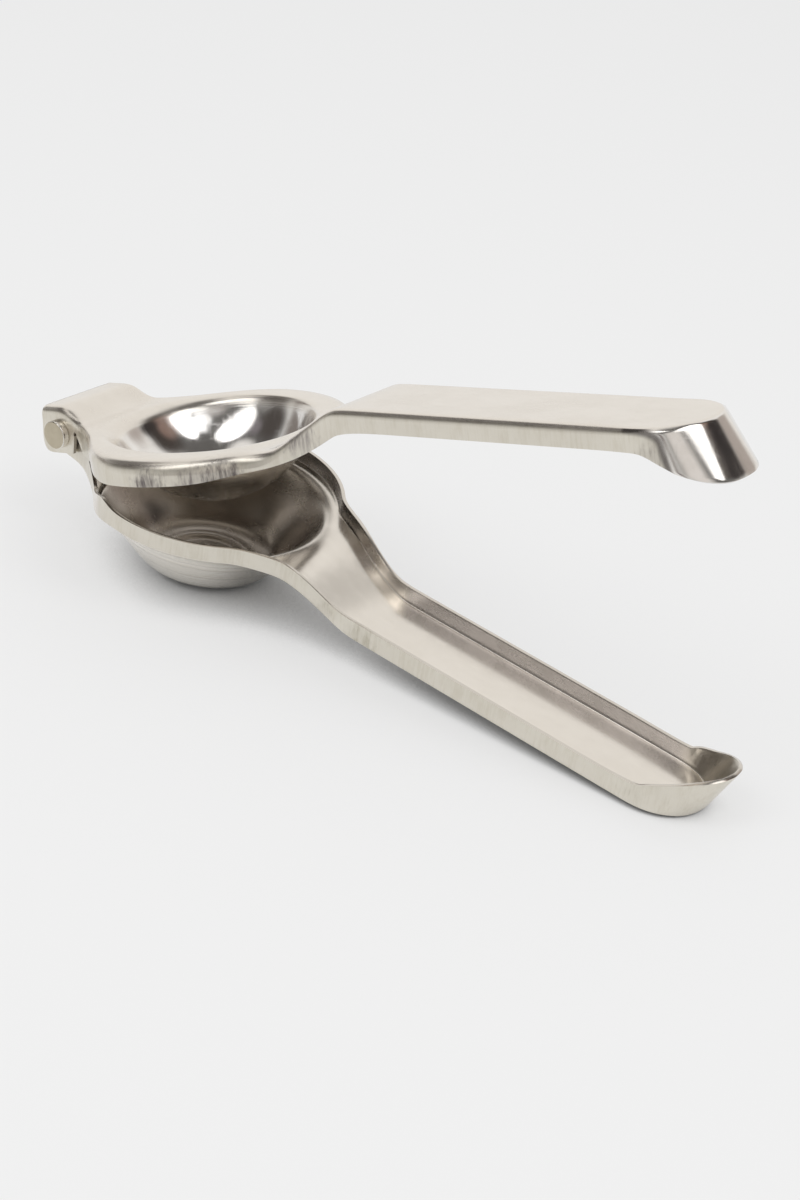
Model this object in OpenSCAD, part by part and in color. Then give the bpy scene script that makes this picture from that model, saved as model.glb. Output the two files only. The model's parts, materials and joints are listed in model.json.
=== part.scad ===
// Hinged lemon squeezer: two levers pressed from stainless sheet, riveted together at one end.
// Each lever is first drawn closed and level about its own hinge axis, which runs along Y
// through [0, 0, 0]. The lower lever is then laid on the table and the upper one opened above it.

/* [Sheet and rivet] */
// Thickness of the sheet that both levers are pressed from
sheet = 1.1; // [0.9:0.1:1.4]
// Diameter of the rivet's shank
rivet_d = 4; // [3:0.2:5]
// Diameter of the rivet's flat heads
rivet_head_d = 7.1; // [6.4:0.1:8]
// How far a rivet head stands out from the ear
rivet_head_h = 1.9; // [1:0.1:2.5]
// Radial play of the rivet in the lower lever's ears, which turn on it
turning_play = 0.08; // [0.03:0.01:0.1]
// Radial gap of the rivet in the upper lever's ears, which it is clenched to
clenched_gap = 0.02; // [0.01:0.01:0.03]

/* [Shared layout] */
// Distance from the hinge axis to the centre of the cup and the press bowl
cup_x = 41.5; // [38:0.5:46]
// Radius of the fillet between the round head of a lever and its handle
neck_r = 44; // [36:1:52]
// Distance from the hinge axis to where a lever starts to widen towards its head
flank_x = 5.5; // [5:0.1:6]
// How much smaller the corner radius on the hinge side of a head is than the head's own radius
shoulder_step = 12.5; // [10:0.5:15]
// Opening between the two levers, as the squeezer lies open
open_angle = 21.4; // [5:0.1:60]

/* [Upper lever] */
// Radius of the round head, outside its skirt
press_r = 33.5; // [32:0.5:36]
// Height of the head's plate above the hinge axis
plate_z = 1.65; // [1:0.05:2.5]
// Depth of the skirt around the head
skirt_h = 6.2; // [5:0.1:7]
// Half of the width across the hinge ears
hinge_half = 12.8; // [12:0.1:13.6]
// Height of the raised top over the hinge axis
hinge_top = 6.7; // [6:0.1:7.4]
// Length of the raised top behind the hinge axis
hinge_back = 5; // [5:0.1:6]
// Length of the raised top in front of the hinge axis
hinge_front = 2.4; // [2:0.1:3.2]
// Distance from the hinge axis to the foot of the slope in front of the raised top
slope_foot = 9.4; // [8.8:0.1:10.5]
// How far the ears reach below the hinge axis
ear_drop = 5; // [4.4:0.1:5.4]
// How far the foot of an ear lies behind the hinge axis
ear_back = 6.4; // [6:0.1:7]
// Radius of the press bowl's mouth
bowl_r = 24.7; // [22:0.1:26]
// Depth of the press bowl below the plate
bowl_depth = 17.6; // [15:0.1:18]
// Distance from the hinge axis to the foot of the web that rises to the handle
web_foot = 74.4; // [72:0.2:76]
// Distance from the hinge axis to the crest where the web meets the handle
web_crest = 91.4; // [88:0.2:95]
// Height of the handle's top above the hinge axis
grip_top = 10.5; // [9:0.1:12]
// Half of the handle's width
grip_half = 12.5; // [11.5:0.1:13]
// Depth of the handle's side walls
grip_wall = 4.9; // [4:0.1:6]
// Distance from the hinge axis to the end of the straight handle
grip_end = 166.5; // [150:0.5:170]
// Distance from the hinge axis to the lip of the flared end
hood_end = 189.5; // [186:0.1:194]
// Half of the width across the lip of the flared end
hood_half = 10.9; // [9.5:0.1:12]
// Depth of the flared end, from the handle's top to the tip of its lip
hood_depth = 12.1; // [10:0.1:13]

/* [Lower lever] */
// Gap between the upper lever's skirt and the rim that it closes over
nest_gap = 0.9; // [0.6:0.1:1.2]
// Gap between the inner faces of the upper ears and the outer faces of the lower ears
ear_gap = 0.3; // [0.2:0.05:0.4]
// Radius of the round top of a lower ear
ear_r = 4.6; // [4.2:0.1:4.8]
// Height of the rim's upper edge above the hinge axis
rim_top = 2; // [1.6:0.1:2.2]
// Height of the rim's wall
rim_wall = 4.8; // [4:0.1:5.4]
// Drop from the hinge axis to the underside of the neck between the ears
neck_drop = 6; // [5.6:0.1:6.6]
// Radius of the strainer cup where it meets the rim, outside
cup_r = 28; // [26.5:0.1:28.2]
// Radius of the flat middle of the cup's bottom, outside
cup_flat = 12; // [11.2:0.1:13]
// Radius of the round corner between the cup's slanted wall and its bottom, outside
cup_corner = 8; // [6:0.1:8]
// Depth of the cup below the rim, outside and without its drain well
cup_depth = 17; // [16:0.1:18]
// Radius of the drain well in the middle of the bottom, outside
well_r = 10; // [8:0.1:11]
// Depth of the drain well
well_depth = 0.8; // [0.4:0.1:1]
// Diameter of a drain hole
hole_d = 2.4; // [1.6:0.1:3]
// Number of drain holes in the ring around the middle one
hole_count = 6; // [3:1:8]
// Radius of the ring of drain holes
hole_ring = 4.6; // [4:0.1:6]
// Distance from the hinge axis to the top of the slope down to the handle
ramp_head = 75.6; // [73:0.2:78]
// Distance from the hinge axis to the foot of that slope
ramp_foot = 93.5; // [90:0.2:97]
// Drop from the hinge axis to the underside of the handle
tray_drop = 10.05; // [9:0.05:11]
// Half of the handle's width
tray_half = 11.7; // [10.5:0.1:12.5]
// Height of the handle's side walls
tray_wall = 5.2; // [4:0.1:6]
// Distance from the hinge axis to the end of the straight handle
tray_end = 171; // [158:0.5:173]
// Distance from the hinge axis to the lip of the scooped end
scoop_end = 192.8; // [190:0.1:196]
// Half of the width across the lip of the scooped end
scoop_half = 10.4; // [9.5:0.1:11.5]
// Height of the scooped end, from the handle's underside to the tip of its lip
scoop_depth = 12.7; // [11:0.1:13.5]

/* [Hidden] */
$fn = 96;

steel = [0.80, 0.78, 0.75];
rivet_steel = [0.74, 0.71, 0.64];

// Cuts reach this far past the faces that they open.
past = 1;
// Reach of a cut that passes through everything, and of a blank that is trimmed afterwards.
through = 60;
// Thickness of the thin slices that a flared end is stretched over.
slice = 0.2;
// Angle, seen from the middle of the head, at which the shoulder corner starts.
shoulder_angle = 100;
// Radius and number of steps of the bends in the side views.
bend_r = 5;
bend_steps = 5;

// Lower lever sizes that follow from the upper one.
rim_r = press_r - sheet - nest_gap;
cup_ear_half = hinge_half - sheet - ear_gap;
rim_foot = rim_top - rim_wall;
cup_bottom = rim_foot - cup_depth;
well_bottom = cup_bottom - well_depth;

// A flared end's floor runs on for a short way and stops at a half disc, and slopes to its lip
// from there. The lip leans by an angle and is highest at its tip, and round corners take up
// most of its width.
flare_run = 4.5;
flare_fn = 32;
lip_slope = 19;
lip_round = 0.92;
hood_disc_x = grip_end + flare_run;
scoop_disc_x = tray_end + flare_run;

// Relief notch in front of each upper ear, a narrow wedge that opens downwards.
notch_x = 6.1;
notch_top = 0.2;
notch_top_w = 0.9;
notch_foot_w = 4.6;

// Corner cut from the back of each upper ear.
ear_corner = 1.8;

// The upper lever's lower edge starts to rise ahead of its web, and then follows it.
edge_start = web_foot - 12;
edge_bend = web_foot + 6;
edge_bend_rise = 3.4;
edge_end = web_crest + 2;

// The lower lever's neck has a floor from just in front of the rivet. It rises to the rim's level.
heel_x = 1.2;
rise_foot = cup_x - 19.5;
rise_head = cup_x - 8.5;
floor_line = [[heel_x, -neck_drop], [rise_foot, -neck_drop], [rise_head, rim_foot], [ramp_head, rim_foot],
              [ramp_foot, -tray_drop], [tray_end + slice, -tray_drop]];

// The rim's upper edge follows the slopes of the floor this far ahead of them.
edge_lead = 1.5;

// The neck's walls dip between the ears and the rim, to clear the upper lever as it closes.
neck_wall = 2.2;
dip_start = rise_foot - 7;
dip_end = rise_foot - 3;

// The lower lever rests on its drain well and on the end of its handle.
rest_run = scoop_disc_x + tray_half - cup_x - well_r;
rest_tilt = atan((-well_bottom - tray_drop) / rest_run);
pin_z = (cup_x + well_r) * sin(rest_tilt) - well_bottom * cos(rest_tilt);
lift = open_angle - rest_tilt;

// The origin lies on the table, under the middle of the whole length.
back_x = -hinge_back * cos(lift) - hinge_top * sin(lift);
front_x = scoop_end * cos(rest_tilt) + (scoop_depth - tray_drop) * sin(rest_tilt);
pin_x = -(front_x + back_x) / 2;

// Unit vector from one point to another.
function heading(a, b) = (b - a) / norm(b - a);

// An open line of points moved to its right by a distance, with mitred corners.
function moved(line, distance) = [
    for (k = [0:len(line) - 1])
        let (here = min(k, len(line) - 2),
             before = max(k, 1) - 1,
             ahead = heading(line[here], line[here + 1]),
             behind = heading(line[before], line[before + 1]),
             normals = [ahead[1] + behind[1], -ahead[0] - behind[0]])
        line[k] + 2 * distance * normals / (normals * normals)
];

// An open line of points with each inner corner rounded to a radius.
function rounded(line, radius) = [
    line[0],
    for (k = [1:len(line) - 2])
        let (to = heading(line[k], line[k - 1]),
             from = heading(line[k], line[k + 1]),
             half = acos(to * from) / 2,
             middle = heading([0, 0], to + from),
             centre = line[k] + middle * radius / sin(half),
             first = line[k] + to * radius / tan(half) - centre,
             turn = (180 - 2 * half) * sign(cross(first, from)))
        for (s = [0:bend_steps])
            let (a = turn * s / bend_steps)
            centre + [first[0] * cos(a) - first[1] * sin(a), first[0] * sin(a) + first[1] * cos(a)],
    line[len(line) - 1]
];

// Hole for the rivet through both ears of a lever, wider than its shank by a radial gap.
module rivet_hole(gap) {
    rotate([90, 0, 0]) cylinder(2 * through, rivet_d / 2 + gap, rivet_d / 2 + gap, center = true);
}

// An x-z outline made solid across the width.
module side_view(outline) {
    rotate([90, 0, 0]) linear_extrude(2 * through, center = true) polygon(outline);
}

// Plan view of a lever up to the end of its straight handle, drawn inward by an inset.
module plan_view(head_r, ear_half, handle_half, back, end, inset) {
    corner_r = head_r - shoulder_step;
    corner = [cup_x + shoulder_step * cos(shoulder_angle), shoulder_step * sin(shoulder_angle)];
    side = ear_half - corner[1];
    flank_r = (pow(corner[0] - flank_x, 2) + side * side - corner_r * corner_r) / (2 * (corner_r - side));
    flank = [flank_x, ear_half + flank_r];
    flank_end = corner + (corner_r - inset) * heading(corner, flank);
    neck = [cup_x + sqrt(pow(head_r + neck_r, 2) - pow(handle_half + neck_r, 2)), handle_half + neck_r];
    neck_end = [cup_x, 0] + (head_r - inset) * heading([cup_x, 0], neck);

    // Round head, with tighter corners towards the hinge
    intersection() {
        translate([cup_x, 0]) circle(head_r - inset);
        translate([cup_x + (head_r - inset) * cos(shoulder_angle), -head_r])
            square([2 * head_r, 2 * head_r]);
    }
    for (s = [-1, 1]) translate([corner[0], s * corner[1]]) circle(corner_r - inset);

    // Hinge ears and the flanks that widen from them
    translate([-back, inset - ear_half]) square([back + flank_x, 2 * (ear_half - inset)]);
    difference() {
        polygon([[flank_x, ear_half - inset], flank_end, corner,
                 [corner[0], -corner[1]], [flank_end[0], -flank_end[1]], [flank_x, inset - ear_half]]);
        for (s = [-1, 1]) translate([flank[0], s * flank[1]]) circle(flank_r + inset);
    }

    // Neck and straight handle
    difference() {
        polygon([[cup_x, 0], neck_end, [neck[0], handle_half - inset],
                 [neck[0], inset - handle_half], [neck_end[0], -neck_end[1]]]);
        for (s = [-1, 1]) translate([neck[0], s * neck[1]]) circle(neck_r + inset);
    }
    translate([neck[0] - inset, inset - handle_half])
        square([end - neck[0] + inset, 2 * (handle_half - inset)]);
}

// Flared end of a channel whose floor lies at z = 0 and whose walls stand up from it.
// With an inset it is the hollow inside, which reaches past the lip and into the channel.
module flared_end(start, half, wall, disc_x, lip_x, lip_half, lip_z, inset) {
    over = inset > 0 ? past : 0;
    corner = lip_half * lip_round;
    hull($fn = flare_fn) {
        translate([start - over, inset - half, inset])
            cube([slice, 2 * (half - inset), wall - inset + over]);
        translate([disc_x, 0, inset]) cylinder(slice, half - inset, half - inset);
        translate([lip_x, 0, lip_z]) rotate([0, -lip_slope, 0])
            for (s = [-1, 1]) translate([-corner, s * (lip_half - corner), -slice])
                cylinder(slice + over, corner - inset, corner - inset);
    }
}

// Solid shape of the upper lever, drawn inward by an inset; with an inset it is the hollow inside.
module press_blank(inset) {
    under = inset > 0 ? -through : 0;
    top = moved(rounded([[-hinge_back, hinge_top], [hinge_front, hinge_top], [slope_foot, plate_z],
                         [web_foot, plate_z], [web_crest, grip_top], [grip_end + slice, grip_top]],
                        bend_r), inset);
    skirt_z = plate_z - skirt_h + under;
    edge = [[grip_end + slice, grip_top - grip_wall + under], [edge_end, grip_top - grip_wall + under],
            [edge_bend, skirt_z + edge_bend_rise], [edge_start, skirt_z],
            [slope_foot, skirt_z], [flank_x, under - ear_drop],
            [ear_corner - ear_back, under - ear_drop], [-ear_back, under - ear_drop + ear_corner]];
    intersection() {
        translate([0, 0, -through]) linear_extrude(2 * through)
            plan_view(press_r, hinge_half, grip_half, ear_back + past, grip_end + slice, inset);
        side_view(concat(inset > 0 ? [[-ear_back - 2 * past, hinge_top - inset]] : [], top, edge));
    }
    translate([0, 0, grip_top]) mirror([0, 0, 1])
        flared_end(grip_end, grip_half, grip_wall, hood_disc_x, hood_end, hood_half, hood_depth, inset);
}

// Upper lever: hinge box, plate with its press bowl and skirt, web, handle and flared end.
module press_shape() {
    ball_r = (bowl_r * bowl_r + bowl_depth * bowl_depth) / (2 * bowl_depth);
    ball_z = plate_z - bowl_depth + ball_r;
    difference() {
        union() {
            difference() {
                press_blank(0);
                press_blank(sheet);
            }
            intersection() {
                translate([cup_x, 0, ball_z]) sphere(ball_r + sheet);
                translate([cup_x, 0, plate_z - through]) cylinder(through, press_r, press_r);
            }
        }
        translate([cup_x, 0, ball_z]) sphere(ball_r);
        rivet_hole(clenched_gap);
        side_view([[notch_x - notch_top_w / 2, notch_top], [notch_x + notch_top_w / 2, notch_top],
                   [notch_x + notch_foot_w / 2, -ear_drop - past],
                   [notch_x - notch_foot_w / 2, -ear_drop - past]]);
    }
}

// Underside of the lower lever's sheet, or with an inset its upper side.
function floor_side(inset) = moved(rounded(floor_line, bend_r), -inset);

// Solid shape of the lower lever, drawn inward by an inset; with an inset it is the hollow inside.
module cup_blank(inset) {
    over = inset > 0 ? through : 0;
    tray_top = tray_wall - tray_drop + over;
    dip_z = neck_wall - neck_drop + over;
    ear_side = ear_r * cos(45);
    edge = [[tray_end + slice, tray_top], [ramp_foot + edge_lead, tray_top],
            [ramp_head + edge_lead, rim_top + over], [rise_head + edge_lead, rim_top + over],
            [dip_end, dip_z], [dip_start, dip_z], [ear_side, ear_side + over]];
    intersection() {
        translate([0, 0, -through]) linear_extrude(2 * through)
            plan_view(rim_r, cup_ear_half, tray_half, ear_r + past, tray_end + slice, inset);
        if (inset > 0) {
            side_view(concat([[heel_x, -through]], floor_side(inset), edge,
                             [[-through, through], [-through, -through]]));
        } else {
            side_view(concat(floor_side(0), edge, [[0, 0], [0, -ear_r]]));
            rotate([90, 0, 0]) cylinder(2 * through, ear_r, ear_r, center = true);
        }
    }
    translate([0, 0, -tray_drop])
        flared_end(tray_end, tray_half, tray_wall, scoop_disc_x, scoop_end, scoop_half, scoop_depth, inset);
}

// Half section of the cup, drawn inward by an inset. Its wall slants from the rim to the corner.
module cup_section(inset) {
    middle = [cup_flat, cup_bottom + cup_corner];
    to_mouth = [cup_r, rim_foot] - middle;
    lean = atan2(to_mouth[1], to_mouth[0]) - acos(cup_corner / norm(to_mouth));
    out = [cos(lean), sin(lean)];
    mouth = [cup_r, rim_foot] - inset * out;
    top = mouth[1] + (inset > 0 ? sheet + past : 0);
    translate(middle) circle(cup_corner - inset);
    polygon([[0, cup_bottom + inset], [cup_flat, cup_bottom + inset],
             middle + (cup_corner - inset) * out, mouth, [mouth[0], top], [0, top]]);
    translate([0, well_bottom + inset]) square([well_r - inset, cup_depth]);
}

// Lower lever: ears, neck, rim, strainer cup, slope, handle and scooped end.
module cup_shape() {
    difference() {
        union() {
            difference() {
                cup_blank(0);
                cup_blank(sheet);
            }
            intersection() {
                translate([cup_x, 0, 0]) rotate_extrude() cup_section(0);
                side_view(concat(floor_side(sheet), [[tray_end, -through], [heel_x, -through]]));
            }
        }
        translate([cup_x, 0, 0]) rotate_extrude() cup_section(sheet);
        drain_hole();
        for (k = [1:hole_count])
            let (a = 90 + k * 360 / hole_count)
            translate([hole_ring * cos(a), hole_ring * sin(a), 0]) drain_hole();
        rivet_hole(turning_play);
    }
}

// One hole through the drain well, at its middle.
module drain_hole() {
    translate([cup_x, 0, well_bottom - past]) cylinder(sheet + 2 * past, hole_d / 2, hole_d / 2);
}

// Put the lower lever on the table.
module lower_place() {
    translate([pin_x, 0, pin_z]) rotate([0, rest_tilt, 0]) children();
}

// Open the upper lever over it.
module upper_place() {
    translate([pin_x, 0, pin_z]) rotate([0, -lift, 0]) children();
}

module press_lever() {
    color(steel) upper_place() press_shape();
}

module cup_lever() {
    color(steel) lower_place() cup_shape();
}

// Rivet through all four ears, with a flat head on each side.
module hinge_pin() {
    shank = 2 * (hinge_half + rivet_head_h / 2);
    color(rivet_steel) upper_place() {
        rotate([90, 0, 0]) cylinder(shank, rivet_d / 2, rivet_d / 2, center = true);
        for (s = [-1, 1])
            translate([0, s * (hinge_half + rivet_head_h / 2), 0]) rotate([90, 0, 0])
                cylinder(rivet_head_h, rivet_head_d / 2, rivet_head_d / 2, center = true);
    }
}

press_lever();
cup_lever();
hinge_pin();
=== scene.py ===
"""Dresses the hinged lemon squeezer: two levers pressed from stainless sheet, and their rivet."""
import json
import logging
import math
from collections.abc import Callable, Iterable
from dataclasses import dataclass
from enum import Enum

import bmesh
import bpy
from mathutils import Matrix, Vector
from mathutils.kdtree import KDTree

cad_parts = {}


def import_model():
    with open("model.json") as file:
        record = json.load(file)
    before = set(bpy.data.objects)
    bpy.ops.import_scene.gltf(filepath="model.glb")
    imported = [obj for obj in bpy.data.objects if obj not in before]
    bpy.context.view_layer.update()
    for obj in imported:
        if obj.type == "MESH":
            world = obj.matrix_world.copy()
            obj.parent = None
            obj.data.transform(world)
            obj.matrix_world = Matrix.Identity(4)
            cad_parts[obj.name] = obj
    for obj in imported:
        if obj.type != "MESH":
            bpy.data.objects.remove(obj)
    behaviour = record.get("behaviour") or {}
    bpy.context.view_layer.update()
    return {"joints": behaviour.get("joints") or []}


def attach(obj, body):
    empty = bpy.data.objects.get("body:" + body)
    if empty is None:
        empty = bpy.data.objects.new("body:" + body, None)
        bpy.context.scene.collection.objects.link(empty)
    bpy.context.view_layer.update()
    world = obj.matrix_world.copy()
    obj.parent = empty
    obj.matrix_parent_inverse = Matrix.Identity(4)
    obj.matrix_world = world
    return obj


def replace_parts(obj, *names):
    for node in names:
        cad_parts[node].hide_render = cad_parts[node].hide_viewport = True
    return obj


LOG = logging.getLogger("squeezer")

MM = 0.001

# How close two places are when they count as one, in millimetres: on the middle line, along a
# row, on a drawn line and at the sheet's back. The last is a turn in radians.
TINY = 1e-6
HAIR = 1e-3
ON_LINE = 1e-2
NEAR = 0.1
TURN_HAIR = 1e-4

BEND_STEPS = 3
LEVEL_FACE = 0.99
CUT_ANGLE = math.radians(60)
SMOOTH_ANGLE = math.radians(35)

Shift = Callable[[Vector], Vector]
Tone = tuple[float, float, float]
Masks = dict[str, object]


def along(stations: list[tuple[float, ...]], place: float) -> tuple[float, ...]:
    """Read a row of stations at any place between them.

    Args:
        stations: Tuples that start with their place and rise in it.
        place: Where to read.

    Returns:
        The values after the place, taken in a straight line from one station to the next.
    """
    if place <= stations[0][0]:
        return stations[0][1:]
    for low, high in zip(stations, stations[1:]):
        if place <= high[0]:
            share = (place - low[0]) / (high[0] - low[0])
            return tuple(a + share * (b - a) for a, b in zip(low[1:], high[1:]))
    return stations[-1][1:]


def ease(low: float, high: float, value: float) -> float:
    """Rise smoothly from 0 at low to 1 at high.

    Args:
        low: Where the rise starts.
        high: Where it ends.
        value: Where to read it.

    Returns:
        A share from 0 to 1.
    """
    share = min(1.0, max(0.0, (value - low) / (high - low)))
    return share * share * (3 - 2 * share)


def window(low: float, high: float, fall: float, foot: float, value: float) -> float:
    """Rise smoothly from 0 at low to 1 at high, and fall back from 1 at fall to 0 at foot.

    Args:
        low: Where the rise starts.
        high: Where it ends.
        fall: Where the fall starts.
        foot: Where it ends.
        value: Where to read it.

    Returns:
        A share from 0 to 1.
    """
    return ease(low, high, value) * (1 - ease(fall, foot, value))


def side_of(y: float) -> float:
    """Say on which side of the middle line a place lies: -1, 1, or 0 on the line itself."""
    return math.copysign(1.0, y) if abs(y) > TINY else 0.0


def take(piece: bpy.types.Object) -> None:
    """Select a piece alone and make it the active one.

    Args:
        piece: The piece.
    """
    bpy.ops.object.select_all(action="DESELECT")
    piece.select_set(True)
    bpy.context.view_layer.objects.active = piece


def mark(piece: bpy.types.Object, name: str, domain: str, values: list[float]) -> None:
    """Mark a number on every face or point of a piece, for its finish.

    Args:
        piece: The piece.
        name: The mark's name.
        domain: "FACE" or "POINT".
        values: A number for each face or point.
    """
    piece.data.attributes.new(name, "FLOAT", domain).data.foreach_set("value", values)


def clear_layers(piece: bpy.types.Object) -> None:
    """Clear away the marks that only the bench needs.

    Args:
        piece: The piece.
    """
    for layer in ("ring", "foot"):
        if layer in piece.data.attributes:
            piece.data.attributes.remove(piece.data.attributes[layer])


def add_rod(radius: float, length: float, sides: int,
            spot: tuple[float, float, float] = (0, 0, 0)) -> bpy.types.Object:
    """Add a closed cylinder that lies across the lever, with its place in its mesh.

    Args:
        radius: Its radius.
        length: Its length.
        sides: Its number of sides.
        spot: Its middle.

    Returns:
        The new object.
    """
    bpy.ops.object.select_all(action="DESELECT")
    bpy.ops.mesh.primitive_cylinder_add(vertices=sides, radius=radius, depth=length,
                                        location=spot, rotation=(math.pi / 2, 0, 0))
    bpy.ops.object.transform_apply(location=True, rotation=True, scale=True)
    return bpy.context.object


class Ring(Enum):
    """The rows of vertices across a wall, from the bend at its foot to its free edge."""

    SHEET = 0
    BEND = 1
    LOW = 2
    HIGH = 3
    EDGE = 4


class Bench:
    """Edit-mode tools for one mesh, used as by hand."""

    def __init__(self, piece: bpy.types.Object) -> None:
        """Take a piece onto the bench and open it in edit mode.

        Args:
            piece: The mesh object to work on.
        """
        self.piece = piece
        bpy.context.view_layer.objects.active = piece
        bpy.ops.object.mode_set(mode="EDIT")
        self.mesh = bmesh.from_edit_mesh(piece.data)
        self.ring = self.mesh.verts.layers.int.new("ring")
        self.foot = self.mesh.verts.layers.float_vector.new("foot")
        self.corners = KDTree(0)

    def refresh(self) -> None:
        """Read the mesh again after an operator has changed it."""
        self.mesh = bmesh.from_edit_mesh(self.piece.data)
        self.ring = self.mesh.verts.layers.int["ring"]
        self.foot = self.mesh.verts.layers.float_vector["foot"]

    def drop(self) -> None:
        """Let go of everything that is selected."""
        bpy.ops.mesh.select_all(action="DESELECT")
        self.refresh()

    def pick_edges(self, rule: Callable[[bmesh.types.BMEdge], bool]) -> int:
        """Select the edges that a rule names, and nothing else.

        Args:
            rule: Says of an edge whether it is wanted.

        Returns:
            How many were picked.
        """
        bpy.ops.mesh.select_mode(type="EDGE")
        self.drop()
        wanted = [edge for edge in self.mesh.edges if rule(edge)]
        for edge in wanted:
            edge.select_set(True)
        self.mesh.select_flush_mode()
        bmesh.update_edit_mesh(self.piece.data)
        return len(wanted)

    def extrude(self, rule: Shift | None = None, ring: Ring | None = None) -> None:
        """Extrude the selected edges and put each new vertex where a rule says.

        Args:
            rule: Gives a new vertex its place from the place that it grew from.
            ring: The wall row that the new vertices belong to.
        """
        bpy.ops.mesh.extrude_region_move()
        self.refresh()
        self.settle(rule, ring)

    def settle(self, rule: Shift | None, ring: Ring | None = None) -> None:
        """Put each selected vertex where a rule says.

        Args:
            rule: Gives a vertex its place from its present one.
            ring: The wall row that the vertices then belong to.
        """
        for vertex in self.mesh.verts:
            if vertex.select:
                if rule is not None:
                    vertex.co = rule(vertex.co.copy())
                if ring is not None:
                    vertex[self.ring] = ring.value
        bmesh.update_edit_mesh(self.piece.data)

    def raise_wall(self, rule: Callable[[Vector, Ring], Vector]) -> None:
        """Raise a wall of three courses from the selected outline, and mark the bend at its foot.

        Args:
            rule: Gives a wall vertex its place from its foot on the outline and its row.
        """
        for vertex in self.mesh.verts:
            if vertex.select:
                vertex[self.ring] = Ring.BEND.value
                vertex[self.foot] = vertex.co
        for ring in (Ring.LOW, Ring.HIGH, Ring.EDGE):
            bpy.ops.mesh.extrude_region_move()
            self.refresh()
            for vertex in self.mesh.verts:
                if vertex.select:
                    vertex[self.ring] = ring.value
                    vertex.co = rule(Vector(vertex[self.foot]), ring)
            bmesh.update_edit_mesh(self.piece.data)

    def note_corners(self) -> None:
        """Keep the place of each selected vertex, so that a bend made there can be widened."""
        places = [vertex.co.copy() for vertex in self.mesh.verts if vertex.select]
        self.corners = KDTree(len(places))
        for index, place in enumerate(places):
            self.corners.insert(place, index)
        self.corners.balance()

    def on_ring(self, edge: bmesh.types.BMEdge, ring: Ring) -> bool:
        """Say whether both ends of an edge lie on one wall row."""
        return all(vertex[self.ring] == ring.value for vertex in edge.verts)

    def close(self) -> None:
        """Leave edit mode."""
        bpy.ops.object.mode_set(mode="OBJECT")


def start_circle(name: str, centre: Vector, radius: float, spokes: int) -> bpy.types.Object:
    """Add an open circle to start a piece from, with its place in its mesh.

    Args:
        name: The piece's name.
        centre: The circle's centre.
        radius: Its radius.
        spokes: Its number of vertices.

    Returns:
        The new object.
    """
    bpy.ops.object.select_all(action="DESELECT")
    bpy.ops.mesh.primitive_circle_add(vertices=spokes, radius=radius, location=centre)
    piece = bpy.context.object
    piece.name = name
    piece.data.name = name
    bpy.ops.object.transform_apply(location=True, rotation=True, scale=True)
    return piece


def apply_modifier(piece: bpy.types.Object, name: str, kind: str, **settings: object) -> None:
    """Add a modifier to a piece and apply it.

    Args:
        piece: The piece.
        name: The modifier's name.
        kind: Its type.
        **settings: Its settings by name.
    """
    take(piece)
    modifier = piece.modifiers.new(name, kind)
    for key, value in settings.items():
        setattr(modifier, key, value)
    bpy.ops.object.modifier_apply(modifier=modifier.name)


def cut_with(piece: bpy.types.Object, tool: bpy.types.Object) -> None:
    """Cut a closed tool's shape out of a piece and clear the tool away.

    Args:
        piece: The piece that is cut.
        tool: The closed mesh that cuts it.
    """
    apply_modifier(piece, "cut", "BOOLEAN", operation="DIFFERENCE", solver="EXACT", object=tool)
    mesh = tool.data
    bpy.data.objects.remove(tool)
    bpy.data.meshes.remove(mesh)


@dataclass(frozen=True)
class Seat:
    """Where a lever lies in the frame.

    Attributes:
        pin: The hinge axis, in metres.
        lift: How far the lever's far end is turned up, in radians.
    """

    pin: Vector
    lift: float

    def put(self, piece: bpy.types.Object) -> None:
        """Take a piece from its lever's own millimetres into the frame.

        Args:
            piece: The piece, drawn about the hinge axis.
        """
        take(piece)
        piece.matrix_world = (Matrix.Translation(self.pin) @ Matrix.Rotation(-self.lift, 4, "Y")
                              @ Matrix.Scale(MM, 4))
        bpy.ops.object.transform_apply(location=True, rotation=True, scale=True)

    def place(self, board: "Board") -> bpy.types.NodeSocket:
        """Read a place on the lever in its own millimetres.

        Args:
            board: The board of the material's nodes.

        Returns:
            The place as a vector.
        """
        turned = Matrix.Rotation(self.lift, 3, "Y") @ self.pin
        spot = board.node("ShaderNodeTexCoord").outputs["Object"]
        return board.node("ShaderNodeMapping", Vector=spot, Location=turned / -MM,
                          Rotation=(0.0, self.lift, 0.0), Scale=(1 / MM,) * 3).outputs[0]


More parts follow.
